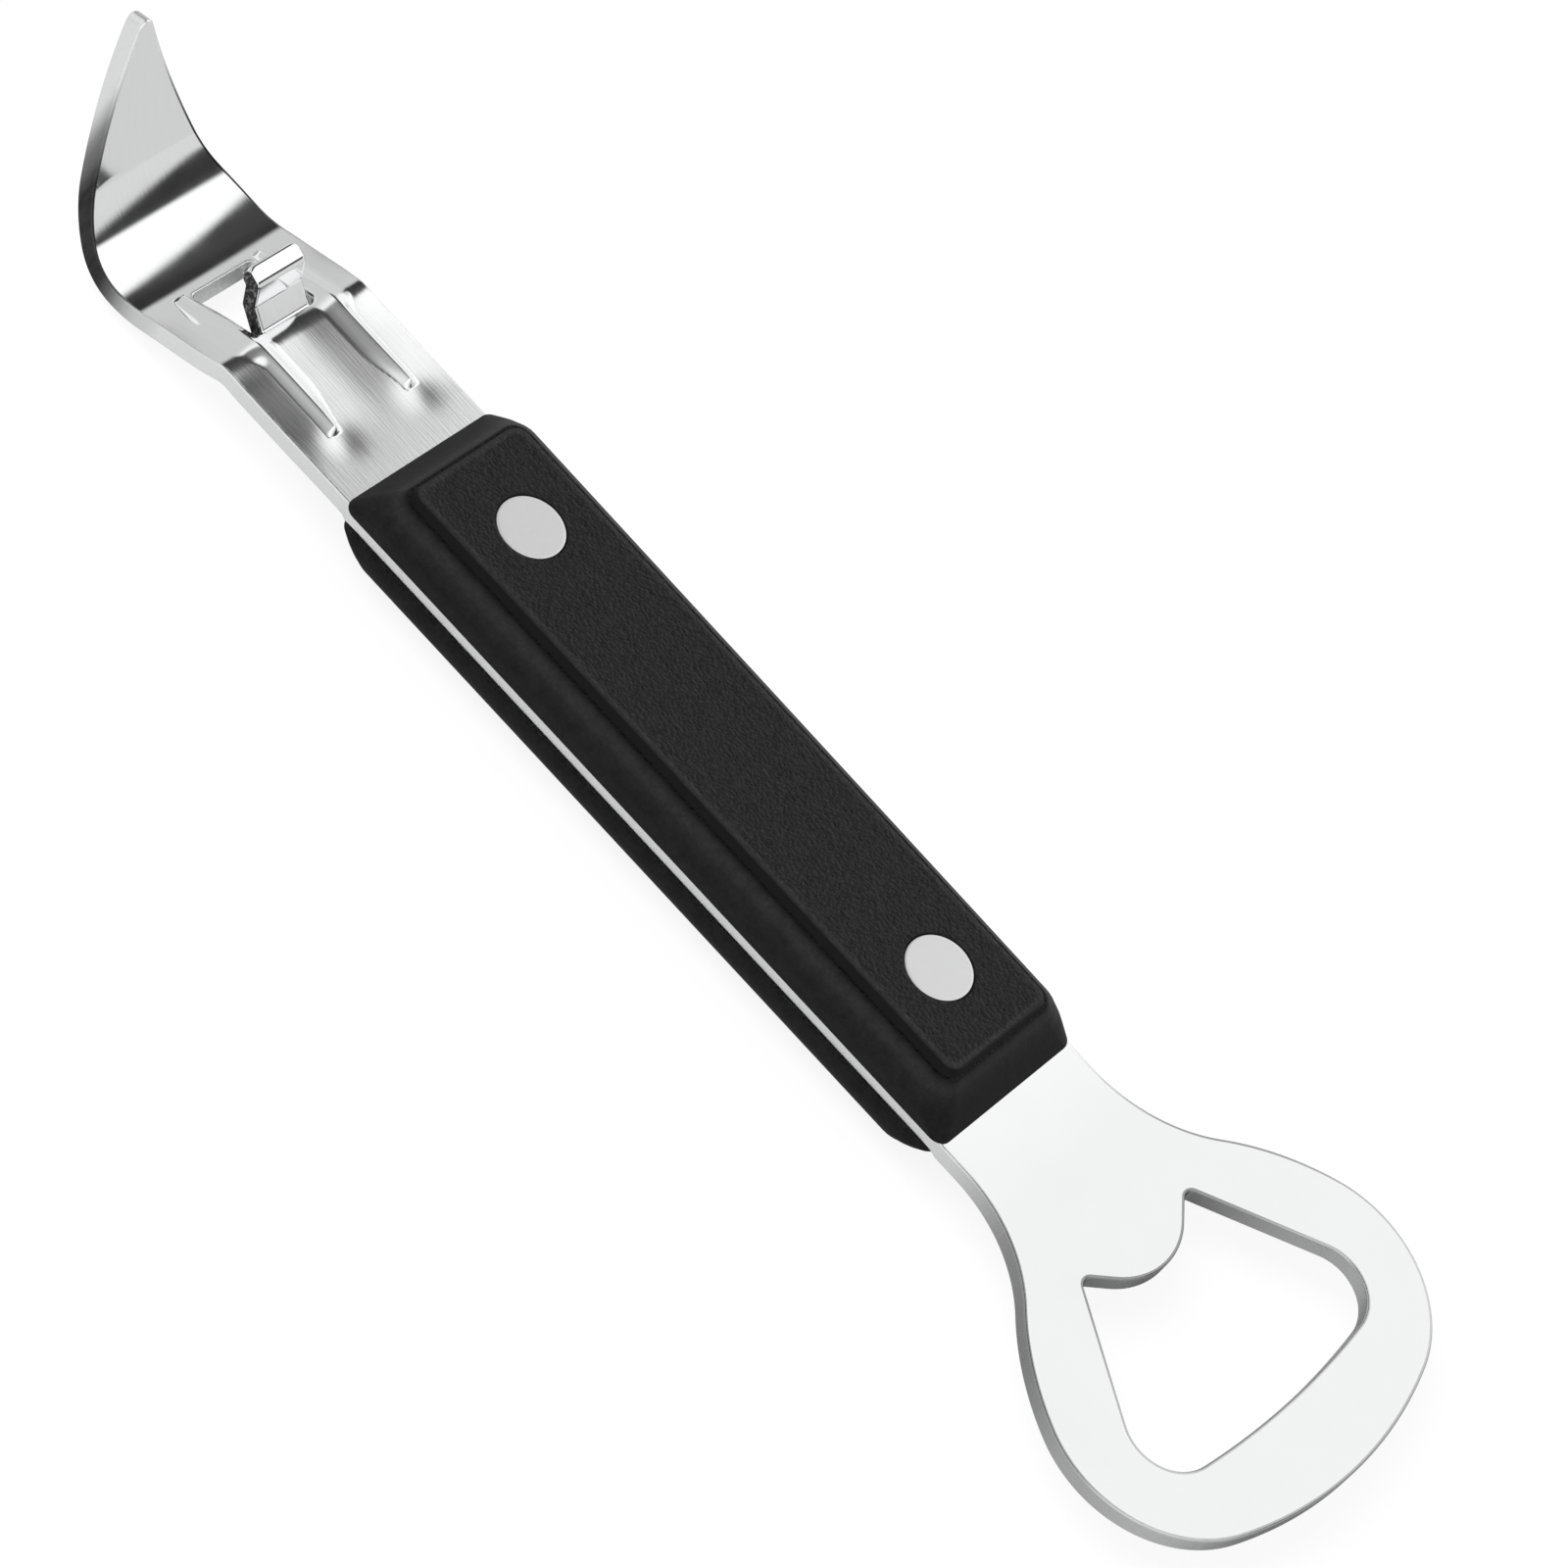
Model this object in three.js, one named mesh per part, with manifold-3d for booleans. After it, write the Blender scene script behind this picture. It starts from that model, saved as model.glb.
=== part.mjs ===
// A manual can opener: one steel blade with a can punch at one end and a cap lifter at the other,
// held between two plastic handle scales by two pairs of compression rivet halves.
//
// Millimetres. X runs along the tool from the punch to the cap lifter, Y runs across it and Z is up.
// The tool lies on its back scale. The origin is the middle of that scale's flat outer face.

import * as THREE from 'three';
import { mergeVertices } from 'three/addons/utils/BufferGeometryUtils.js';
import Module from 'manifold-3d';

const wasm = await Module();
wasm.setup();

const DEGREE = Math.PI / 180;

// The sandwich: back scale, steel, front scale.
const STEEL = 2;
const SCALE_HEIGHT = 5.4;
const STEEL_BACK = SCALE_HEIGHT;
const STEEL_FRONT = STEEL_BACK + STEEL;
const HANDLE_HEIGHT = STEEL_FRONT + SCALE_HEIGHT;

// The tang is the straight strip of the blade. It ends where the punch starts to fold.
const TANG_HALF_WIDTH = 10;
const FOLD_X = -57.8;
const LAP = 3;

// The punch, as its front face runs from the fold to the tip. A positive turn folds it down.
const FOLD_RADIUS = 6;
const FOLD_ANGLE = 21 * DEGREE;
const SLOPE_LENGTH = 9.7;
const BELLY_RADIUS = 10.25;
const BELLY_ANGLE = 79 * DEGREE;
const POINT_RADIUS = 56;
const POINT_LENGTH = 15.6;
const PUNCH_RUN = [
  { length: LAP, turn: 0 },
  { length: FOLD_RADIUS * FOLD_ANGLE, turn: FOLD_ANGLE },
  { length: SLOPE_LENGTH, turn: 0 },
  { length: BELLY_RADIUS * BELLY_ANGLE, turn: -BELLY_ANGLE },
  { length: POINT_LENGTH, turn: -POINT_LENGTH / POINT_RADIUS },
];
const PUNCH_LENGTH = PUNCH_RUN.reduce((sum, stretch) => sum + stretch.length, 0) - LAP;
const PUNCH_HALF_WIDTH = 10.25;
const FLARE_LENGTH = 5;
const POINT_HALF_ANGLE = 22.4 * DEGREE;
const POINT_SHOULDER_RADIUS = 14;
const TIP_RADIUS = 1;
const TIP_BLUNT = 10 * DEGREE;

// The window in the slope and the tab that is folded up out of it, to catch the rim of a can.
// Distances are measured from the fold along the front face.
const WINDOW_START = 2.6;
const WINDOW_END = 11.1;
const WINDOW_HALF_WIDTH = 4.3;
const TAB_HALF_WIDTH = 3.5;
const TAB_THICKNESS = 1.6;
const TAB_ROOT = 1;
const TAB_STRETCHES = [
  { length: 2.6, rise: 42 * DEGREE },
  { length: 2.7, rise: 74 * DEGREE },
  { length: 2.2, rise: 32 * DEGREE },
];

// The two stiffening ribs pressed forward through the fold, on either side of the window.
const RIB_START = -10.2;
const RIB_END = 11.6;
const RIB_CREST_Y = 5.4;
const RIB_INNER_FOOT = 3.2;
const RIB_OUTER_FOOT = 6.7;
const RIB_HEIGHT = 0.7;
const RIB_RUNOUT = 1.2;
const RIB_STEPS = 24;

// The cap lifter's outline: a fillet off the tang, a long flank, a tight lobe and a flat nose.
const LOBE = new THREE.Vector2(73.4, 10.2);
const LOBE_RADIUS = 13.9;
const FLANK_RADIUS = 31.2;
const FLANK_ANGLE = -66 * DEGREE;
const NECK_FILLET = 18;
const NOSE_RADIUS = 44;

// The mouth of the cap lifter: a tongue, a small notch at each side of it, two slanted sides that
// end in round corners, and a far side that bulges a little.
const TONGUE = new THREE.Vector2(54.75, 0);
const TONGUE_RADIUS = 8.5;
const NOTCH = new THREE.Vector2(60.35, 8.05);
const NOTCH_RADIUS = 0.95;
const MOUTH_CORNER = new THREE.Vector2(74.5, 12);
const MOUTH_CORNER_RADIUS = 4.9;
const MOUTH_FAR_RADIUS = 96;

// The handle scales. The sides rise straight from the steel and then slope in to the outer face,
// and the ends slope all the way. The handle is slightly narrower towards the cap lifter.
const HANDLE_LENGTH = 83.1;
const HANDLE_WIDE_HALF = 10.9;
const HANDLE_NARROW_HALF = 10.4;
const SKIRT_HEIGHT = 2.5;
const SIDE_SLOPE = 3.3;
const END_SLOPE = 4.2;
const SHOULDER_ROUNDING = 1.5;
const FACE_ROUNDING = 0.8;
const PLAN_ROUNDING = 1.6;

// Each rivet is a hollow half from the back and a solid half from the front.
const RIVET_XS = { punch_end: -28.2, lifter_end: 28.8 };
const RIVET_HEAD_RADIUS = 3.55;
const RIVET_HEAD_HEIGHT = 1.4;
const RIVET_TUBE_RADIUS = 2.5;
const RIVET_TUBE_LENGTH = 8.6;
const RIVET_BORE_RADIUS = 1.6;
const RIVET_BORE_DEPTH = 8;
const RIVET_PIN_RADIUS = 1.3;
const RIVET_PIN_LENGTH = 9;
const CLEARANCE = 0.3;

const ARC_SEGMENTS = 8;
const EDGE_SEGMENTS = 4;
const ROUND_SEGMENTS = 40;
const STATION_SPACING = 0.75;
const TIP_STEPS = 5;
const SAME_PLACE = 1e-4;

const MATERIALS = {
  steel: new THREE.MeshStandardMaterial({ color: 0xd9dadb, roughness: 0.18, metalness: 1 }),
  plastic: new THREE.MeshStandardMaterial({ color: 0x1b1b1c, roughness: 0.5, metalness: 0 }),
  rivet: new THREE.MeshStandardMaterial({ color: 0xcfcfd0, roughness: 0.4, metalness: 1 }),
};

// ---------------------------------------------------------------- solids

function toSolid(geometry) {
  const bare = geometry.clone();
  bare.deleteAttribute('normal');
  bare.deleteAttribute('uv');
  const merged = mergeVertices(bare);
  const mesh = new wasm.Mesh({
    numProp: 3,
    vertProperties: new Float32Array(merged.attributes.position.array),
    triVerts: new Uint32Array(merged.index.array),
  });
  return new wasm.Manifold(mesh);
}

function toGeometry(solid) {
  const mesh = solid.getMesh();
  const geometry = new THREE.BufferGeometry();
  geometry.setAttribute('position', new THREE.BufferAttribute(mesh.vertProperties, 3));
  geometry.setIndex(new THREE.BufferAttribute(mesh.triVerts, 1));
  geometry.computeVertexNormals();
  return geometry;
}

// Moves every vertex of a geometry to where move() sends it.
function reshape(geometry, move) {
  const position = geometry.attributes.position;
  const point = new THREE.Vector3();
  for (let i = 0; i < position.count; i += 1) {
    point.fromBufferAttribute(position, i);
    move(point);
    position.setXYZ(i, point.x, point.y, point.z);
  }
  return geometry;
}

function cylinder(radius, x, bottom, top) {
  const geometry = new THREE.CylinderGeometry(radius, radius, top - bottom, ROUND_SEGMENTS);
  geometry.rotateX(Math.PI / 2);
  geometry.translate(x, 0, (bottom + top) / 2);
  return toSolid(geometry);
}

// A shape that is mirrored about the X axis, from the path of its half with y >= 0, which runs
// clockwise. Arcs that meet in the path share a point, which is kept once.
function mirroredShape(halfPath, divisions) {
  const points = halfPath.getPoints(divisions);
  const half = points.filter((point, i) => i === 0 || point.distanceTo(points[i - 1]) > SAME_PLACE);
  const offAxis = half.filter((point) => point.y > SAME_PLACE);
  const otherHalf = offAxis.map((point) => new THREE.Vector2(point.x, -point.y));
  return new THREE.Shape([...otherHalf, ...half.reverse()]);
}

function angleFrom(centre, target) {
  return Math.atan2(target.y - centre.y, target.x - centre.x);
}

// ---------------------------------------------------------------- the folded punch

// Where a point of the flat strip goes when the punch is folded. Its x is the distance along the
// strip, and its z is the height above or below the steel's front face, which keeps its length.
function fold(point) {
  let left = FOLD_X + LAP - point.x;
  let x = FOLD_X + LAP;
  let z = STEEL_FRONT;
  let down = 0;
  for (const { length, turn } of PUNCH_RUN) {
    const run = Math.min(left, length);
    const bend = (turn * run) / length;
    const chord = bend === 0 ? run : ((2 * run) / bend) * Math.sin(bend / 2);
    x -= chord * Math.cos(down + bend / 2);
    z -= chord * Math.sin(down + bend / 2);
    down += bend;
    left -= run;
  }
  const height = point.z - STEEL_FRONT;
  point.set(x - left - height * Math.sin(down), point.y, z + height * Math.cos(down));
}

// The place on the folded steel that is `distance` from the fold and `height` above its front face.
function foldedPoint(distance, height) {
  const point = new THREE.Vector3(FOLD_X - distance, 0, STEEL_FRONT + height);
  fold(point);
  return new THREE.Vector2(point.x, point.z);
}

function punchHalfWidth(distance) {
  const flare = THREE.MathUtils.smoothstep(distance, 0, FLARE_LENGTH);
  const straight = THREE.MathUtils.lerp(TANG_HALF_WIDTH, PUNCH_HALF_WIDTH, flare);
  const tipCentre = PUNCH_LENGTH - TIP_RADIUS;
  const roundFrom = tipCentre + TIP_RADIUS * Math.sin(POINT_HALF_ANGLE);
  if (distance > roundFrom) {
    return Math.sqrt(TIP_RADIUS ** 2 - (distance - tipCentre) ** 2);
  }
  const apex = tipCentre + TIP_RADIUS / Math.sin(POINT_HALF_ANGLE);
  const shoulder = apex - PUNCH_HALF_WIDTH / Math.tan(POINT_HALF_ANGLE);
  const reach = POINT_SHOULDER_RADIUS * Math.tan(POINT_HALF_ANGLE / 2);
  const into = distance - (shoulder - reach);
  if (into > 0 && into < POINT_SHOULDER_RADIUS * Math.sin(POINT_HALF_ANGLE)) {
    return PUNCH_HALF_WIDTH - POINT_SHOULDER_RADIUS + Math.sqrt(POINT_SHOULDER_RADIUS ** 2 - into ** 2);
  }
  return Math.min(straight, (apex - distance) * Math.tan(POINT_HALF_ANGLE));
}

// The distances from the fold at which the strip has a cross-section, closer round the tip.
function punchStations() {
  const tipCentre = PUNCH_LENGTH - TIP_RADIUS;
  const roundFrom = tipCentre + TIP_RADIUS * Math.sin(POINT_HALF_ANGLE);
  const count = Math.ceil((roundFrom + LAP) / STATION_SPACING);
  const stations = [];
  for (let i = 0; i <= count; i += 1) {
    stations.push(THREE.MathUtils.lerp(-LAP, roundFrom, i / count));
  }
  for (let i = 1; i <= TIP_STEPS; i += 1) {
    const angle = THREE.MathUtils.lerp(POINT_HALF_ANGLE, Math.PI / 2 - TIP_BLUNT, i / TIP_STEPS);
    stations.push(tipCentre + TIP_RADIUS * Math.sin(angle));
  }
  return stations;
}

function punchStrip() {
  const stations = punchStations();
  const steps = stations.length - 1;
  const strip = new THREE.BoxGeometry(1, 2, STEEL, steps, 1, 1);
  reshape(strip, (point) => {
    const distance = stations[Math.round((0.5 - point.x) * steps)];
    point.x = FOLD_X - distance;
    point.y *= punchHalfWidth(distance);
    point.z += STEEL_FRONT - STEEL / 2;
    fold(point);
  });
  return toSolid(strip);
}

function windowCutter() {
  const length = WINDOW_END - WINDOW_START;
  const cutter = new THREE.BoxGeometry(length, 2 * WINDOW_HALF_WIDTH, 2 * STEEL, RIB_STEPS, 1, 1);
  cutter.translate(FOLD_X - (WINDOW_START + WINDOW_END) / 2, 0, STEEL_FRONT - STEEL / 2);
  reshape(cutter, fold);
  return toSolid(cutter);
}

// The tab: a strip that rises from the handle side of the window and leans towards the tip.
function tab() {
  const front = [foldedPoint(WINDOW_START, 0)];
  const back = [foldedPoint(WINDOW_START, -STEEL)];
  for (const { length, rise } of TAB_STRETCHES) {
    const stretch = new THREE.Vector2(-length * Math.cos(rise), length * Math.sin(rise));
    const through = new THREE.Vector2(Math.sin(rise), Math.cos(rise)).multiplyScalar(-TAB_THICKNESS);
    const next = front[front.length - 1].clone().add(stretch);
    front.push(next);
    back.push(next.clone().add(through));
  }
  const rootBack = foldedPoint(WINDOW_START - TAB_ROOT, CLEARANCE - STEEL);
  const rootFront = foldedPoint(WINDOW_START - TAB_ROOT, -CLEARANCE);
  const outline = new THREE.Shape([rootFront, ...front, ...back.reverse(), rootBack]);
  const geometry = new THREE.ExtrudeGeometry(outline, { depth: 2 * TAB_HALF_WIDTH, bevelEnabled: false });
  geometry.rotateX(Math.PI / 2);
  geometry.translate(0, TAB_HALF_WIDTH, 0);
  return toSolid(geometry);
}

// A rib's three-cornered section runs along the strip and sinks to nothing at both ends. It is
// drawn on the steel's front face, or one thickness lower to hollow out the back.
function rib(side, drop) {
  const section = new THREE.Shape([
    new THREE.Vector2(side * RIB_INNER_FOOT, -CLEARANCE),
    new THREE.Vector2(side * RIB_INNER_FOOT, 0),
    new THREE.Vector2(side * RIB_CREST_Y, RIB_HEIGHT),
    new THREE.Vector2(side * RIB_OUTER_FOOT, 0),
    new THREE.Vector2(side * RIB_OUTER_FOOT, -CLEARANCE),
  ]);
  const length = RIB_END - RIB_START;
  const options = { depth: length, steps: RIB_STEPS, bevelEnabled: false };
  const geometry = new THREE.ExtrudeGeometry(section, options);
  reshape(geometry, (point) => {
    const across = point.x;
    const along = point.z;
    const sink = Math.min(1, along / RIB_RUNOUT, (length - along) / RIB_RUNOUT);
    const height = point.y > 0 ? point.y * sink : point.y;
    point.set(FOLD_X - RIB_END + along, across, STEEL_FRONT + height - drop);
    fold(point);
  });
  return toSolid(geometry);
}

// ---------------------------------------------------------------- the flat plate and its mouth

function plateHalfOutline() {
  const flank = new THREE.Vector2(
    LOBE.x + (FLANK_RADIUS - LOBE_RADIUS) * Math.cos(FLANK_ANGLE),
    LOBE.y + (FLANK_RADIUS - LOBE_RADIUS) * Math.sin(FLANK_ANGLE),
  );
  const filletY = TANG_HALF_WIDTH + NECK_FILLET;
  const fillet = new THREE.Vector2(
    flank.x - Math.sqrt((FLANK_RADIUS + NECK_FILLET) ** 2 - (filletY - flank.y) ** 2),
    filletY,
  );
  const nose = new THREE.Vector2(LOBE.x - Math.sqrt((NOSE_RADIUS - LOBE_RADIUS) ** 2 - LOBE.y ** 2), 0);
  const path = new THREE.Path();
  path.moveTo(FOLD_X, TANG_HALF_WIDTH);
  path.lineTo(fillet.x, TANG_HALF_WIDTH);
  path.absarc(fillet.x, fillet.y, NECK_FILLET, -Math.PI / 2, angleFrom(fillet, flank), false);
  path.absarc(flank.x, flank.y, FLANK_RADIUS, angleFrom(flank, fillet), angleFrom(flank, LOBE), true);
  path.absarc(LOBE.x, LOBE.y, LOBE_RADIUS, angleFrom(flank, LOBE), angleFrom(nose, LOBE), true);
  path.absarc(nose.x, nose.y, NOSE_RADIUS, angleFrom(nose, LOBE), 0, true);
  return path;
}

function mouthHalfOutline() {
  const cross = Math.acos((TONGUE_RADIUS + NOTCH_RADIUS) / TONGUE.distanceTo(NOTCH));
  const lean = Math.asin((MOUTH_CORNER_RADIUS - NOTCH_RADIUS) / NOTCH.distanceTo(MOUTH_CORNER));
  const sideNormal = angleFrom(NOTCH, MOUTH_CORNER) + lean + Math.PI / 2;
  const notchStart = angleFrom(NOTCH, TONGUE) + 2 * Math.PI - cross;
  const reach = Math.sqrt((MOUTH_FAR_RADIUS - MOUTH_CORNER_RADIUS) ** 2 - MOUTH_CORNER.y ** 2);
  const far = new THREE.Vector2(MOUTH_CORNER.x - reach, 0);
  const cornerEnd = angleFrom(far, MOUTH_CORNER);
  const path = new THREE.Path();
  path.absarc(TONGUE.x, TONGUE.y, TONGUE_RADIUS, 0, angleFrom(TONGUE, NOTCH) - cross, false);
  path.absarc(NOTCH.x, NOTCH.y, NOTCH_RADIUS, notchStart, sideNormal, true);
  path.absarc(MOUTH_CORNER.x, MOUTH_CORNER.y, MOUTH_CORNER_RADIUS, sideNormal, cornerEnd, true);
  path.absarc(far.x, far.y, MOUTH_FAR_RADIUS, cornerEnd, 0, true);
  return path;
}

function plate() {
  const outline = mirroredShape(plateHalfOutline(), ARC_SEGMENTS);
  outline.holes.push(mirroredShape(mouthHalfOutline(), ARC_SEGMENTS));
  const geometry = new THREE.ExtrudeGeometry(outline, { depth: STEEL, bevelEnabled: false });
  geometry.translate(0, 0, STEEL_BACK);
  return toSolid(geometry);
}

function blade() {
  let solid = plate().add(punchStrip());
  for (const side of [-1, 1]) {
    solid = solid.add(rib(side, 0)).subtract(rib(side, STEEL));
  }
  solid = solid.subtract(windowCutter()).add(tab());
  for (const x of Object.values(RIVET_XS)) {
    solid = solid.subtract(cylinder(RIVET_TUBE_RADIUS + CLEARANCE, x, 0, HANDLE_HEIGHT));
  }
  return toGeometry(solid);
}

// ---------------------------------------------------------------- the handle scales

// A path with rounded corners: each corner is left and met again at its own rounding distance.
function roundedPath(corners) {
  const path = new THREE.Path();
  path.moveTo(corners[0].x, corners[0].y);
  for (let i = 1; i < corners.length - 1; i += 1) {
    const corner = new THREE.Vector2(corners[i].x, corners[i].y);
    const before = corner.clone().sub(corners[i - 1]).setLength(corners[i].rounding);
    const after = new THREE.Vector2().subVectors(corners[i + 1], corner).setLength(corners[i].rounding);
    path.lineTo(corner.x - before.x, corner.y - before.y);
    path.quadraticCurveTo(corner.x, corner.y, corner.x + after.x, corner.y + after.y);
  }
  const last = corners[corners.length - 1];
  path.lineTo(last.x, last.y);
  return path;
}

// The scale's cross-section: x is the height above the steel and y the distance from the middle.
function sideProfile() {
  return roundedPath([
    { x: 0, y: HANDLE_WIDE_HALF },
    { x: SKIRT_HEIGHT, y: HANDLE_WIDE_HALF, rounding: SHOULDER_ROUNDING },
    { x: SCALE_HEIGHT, y: HANDLE_WIDE_HALF - SIDE_SLOPE, rounding: FACE_ROUNDING },
    { x: SCALE_HEIGHT, y: 0 },
  ]);
}

// The scale seen from the side: x is the height above the steel and y the distance along.
function endProfile() {
  return roundedPath([
    { x: 0, y: HANDLE_LENGTH / 2 },
    { x: SCALE_HEIGHT, y: HANDLE_LENGTH / 2 - END_SLOPE, rounding: FACE_ROUNDING },
    { x: SCALE_HEIGHT, y: 0 },
  ]);
}

// The scale's foot on the steel: a rectangle with rounded corners.
function footProfile() {
  return roundedPath([
    { x: -HANDLE_LENGTH / 2, y: 0 },
    { x: -HANDLE_LENGTH / 2, y: HANDLE_WIDE_HALF, rounding: PLAN_ROUNDING },
    { x: HANDLE_LENGTH / 2, y: HANDLE_WIDE_HALF, rounding: PLAN_ROUNDING },
    { x: HANDLE_LENGTH / 2, y: 0 },
  ]);
}

function prism(halfPath, depth) {
  const shape = mirroredShape(halfPath, EDGE_SEGMENTS);
  return new THREE.ExtrudeGeometry(shape, { depth, bevelEnabled: false });
}

// How far the handle has narrowed at a place along it, as a share of its widest.
function taper(along) {
  return THREE.MathUtils.lerp(1, HANDLE_NARROW_HALF / HANDLE_WIDE_HALF, along / HANDLE_LENGTH + 1 / 2);
}

// A scale that stands on the steel at `seat` and has its flat face at `face`. It is what three bars
// have in common: one with its cross-section, one with its side view and one with its foot.
function scale(seat, face) {
  const up = Math.sign(face - seat);
  const lengthwise = reshape(prism(sideProfile(), HANDLE_LENGTH), (point) => {
    const along = up * (HANDLE_LENGTH / 2 - point.z);
    point.set(along, point.y * taper(along), seat + up * point.x);
  });
  const crosswise = reshape(prism(endProfile(), HANDLE_LENGTH), (point) => {
    point.set(point.y, up * (point.z - HANDLE_LENGTH / 2), seat + up * point.x);
  });
  const upright = reshape(prism(footProfile(), SCALE_HEIGHT), (point) => {
    point.set(point.x, point.y * taper(point.x), Math.min(seat, face) + point.z);
  });
  let solid = toSolid(lengthwise).intersect(toSolid(crosswise)).intersect(toSolid(upright));
  const sink = face - up * RIVET_HEAD_HEIGHT;
  const beyond = face + up;
  for (const x of Object.values(RIVET_XS)) {
    const bore = cylinder(RIVET_TUBE_RADIUS + CLEARANCE, x, -1, HANDLE_HEIGHT + 1);
    const head = cylinder(RIVET_HEAD_RADIUS + CLEARANCE, x, Math.min(sink, beyond), Math.max(sink, beyond));
    solid = solid.subtract(bore).subtract(head);
  }
  return toGeometry(solid);
}

// ---------------------------------------------------------------- the rivets

// The hollow half: a head at the back and a tube that runs forward through the sandwich.
function rivetTube(x) {
  const profile = [
    new THREE.Vector2(0, 0),
    new THREE.Vector2(RIVET_HEAD_RADIUS, 0),
    new THREE.Vector2(RIVET_HEAD_RADIUS, RIVET_HEAD_HEIGHT),
    new THREE.Vector2(RIVET_TUBE_RADIUS, RIVET_HEAD_HEIGHT),
    new THREE.Vector2(RIVET_TUBE_RADIUS, RIVET_HEAD_HEIGHT + RIVET_TUBE_LENGTH),
    new THREE.Vector2(RIVET_BORE_RADIUS, RIVET_HEAD_HEIGHT + RIVET_TUBE_LENGTH),
    new THREE.Vector2(RIVET_BORE_RADIUS, RIVET_HEAD_HEIGHT + RIVET_TUBE_LENGTH - RIVET_BORE_DEPTH),
    new THREE.Vector2(0, RIVET_HEAD_HEIGHT + RIVET_TUBE_LENGTH - RIVET_BORE_DEPTH),
  ];
  const geometry = new THREE.LatheGeometry(profile, ROUND_SEGMENTS);
  geometry.rotateX(Math.PI / 2);
  geometry.translate(x, 0, 0);
  return toGeometry(toSolid(geometry));
}

// The solid half: a head at the front and a pin that is driven back into the tube.
function rivetPin(x) {
  const profile = [
    new THREE.Vector2(0, 0),
    new THREE.Vector2(RIVET_PIN_RADIUS, 0),
    new THREE.Vector2(RIVET_PIN_RADIUS, RIVET_PIN_LENGTH),
    new THREE.Vector2(RIVET_HEAD_RADIUS, RIVET_PIN_LENGTH),
    new THREE.Vector2(RIVET_HEAD_RADIUS, RIVET_PIN_LENGTH + RIVET_HEAD_HEIGHT),
    new THREE.Vector2(0, RIVET_PIN_LENGTH + RIVET_HEAD_HEIGHT),
  ];
  const geometry = new THREE.LatheGeometry(profile, ROUND_SEGMENTS);
  geometry.rotateX(Math.PI / 2);
  geometry.translate(x, 0, HANDLE_HEIGHT - RIVET_PIN_LENGTH - RIVET_HEAD_HEIGHT);
  return toGeometry(toSolid(geometry));
}

// ---------------------------------------------------------------- the assembly

const canOpener = new THREE.Group();
canOpener.name = 'can_opener';

function addPart(name, geometry, material) {
  const mesh = new THREE.Mesh(geometry, material);
  mesh.name = name;
  canOpener.add(mesh);
}

addPart('blade', blade(), MATERIALS.steel);
addPart('front_scale', scale(STEEL_FRONT, HANDLE_HEIGHT), MATERIALS.plastic);
addPart('back_scale', scale(STEEL_BACK, 0), MATERIALS.plastic);
for (const [place, x] of Object.entries(RIVET_XS)) {
  addPart(`rivet_tube_${place}`, rivetTube(x), MATERIALS.rivet);
  addPart(`rivet_pin_${place}`, rivetPin(x), MATERIALS.rivet);
}

export default canOpener;
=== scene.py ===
import math

import bmesh
import bpy
import numpy as np
from mathutils import Matrix, Vector
from mathutils.geometry import delaunay_2d_cdt


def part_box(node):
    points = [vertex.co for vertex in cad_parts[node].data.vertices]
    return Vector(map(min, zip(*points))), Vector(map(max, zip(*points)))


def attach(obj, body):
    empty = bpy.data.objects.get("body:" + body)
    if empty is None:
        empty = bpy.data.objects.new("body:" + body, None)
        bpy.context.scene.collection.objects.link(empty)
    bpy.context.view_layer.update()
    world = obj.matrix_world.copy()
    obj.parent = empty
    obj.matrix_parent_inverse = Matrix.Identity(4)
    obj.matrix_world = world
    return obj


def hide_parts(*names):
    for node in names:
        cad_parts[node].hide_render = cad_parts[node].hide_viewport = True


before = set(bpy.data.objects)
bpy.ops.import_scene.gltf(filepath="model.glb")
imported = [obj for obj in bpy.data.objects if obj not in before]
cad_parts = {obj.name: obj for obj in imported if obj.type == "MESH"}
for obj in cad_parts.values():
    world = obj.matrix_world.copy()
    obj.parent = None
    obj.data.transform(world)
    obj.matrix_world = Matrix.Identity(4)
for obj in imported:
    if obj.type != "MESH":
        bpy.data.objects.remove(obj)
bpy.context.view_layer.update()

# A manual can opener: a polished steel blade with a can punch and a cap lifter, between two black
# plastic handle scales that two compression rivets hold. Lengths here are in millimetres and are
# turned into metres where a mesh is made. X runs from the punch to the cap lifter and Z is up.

MM = 0.001
# What stands in for a zero that something is divided by.
TINY = 1e-12


def box_mm(node):
    low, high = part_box(node)
    return np.array(low) / MM, np.array(high) / MM


FRONT_LOW, FRONT_HIGH = box_mm("front_scale")
BACK_HIGH = box_mm("back_scale")[1]
RIVET_ENDS = ("punch_end", "lifter_end")
RIVET_XS = [float(sum(b[0] for b in box_mm(f"rivet_pin_{end}")) / 2) for end in RIVET_ENDS]

# How finely outlines are cut into points.
OUTLINE_STEP = 0.5
OUTLINE_TURN = math.radians(5)
SAME_POINT = 0.001
CORNER_STEPS = 10
ROUND_STEPS = 96

# The blade's sheet, the edge that tumbling leaves on it, and the grid over its folded part.
STEEL_FRONT = float(FRONT_LOW[2])
STEEL = STEEL_FRONT - float(BACK_HIGH[2])
EDGE_ROUNDING = 0.22
EDGE_STEPS = 4
EDGE_HOLD = 0.12
GRID_X = 0.3
GRID_Y = 0.2
GRID_ROWS = 51
GRID_UNDER_HANDLE = 3
GRID_EPSILON = 1e-6
NORMAL_STEP = 0.01

# The tang, which follows the scales just inside them, from a little way in from the handle's ends.
TANG_HALF_WIDTH = 10
TANG_UNDER = 0.8
TANG_INSET = 0.6

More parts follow.
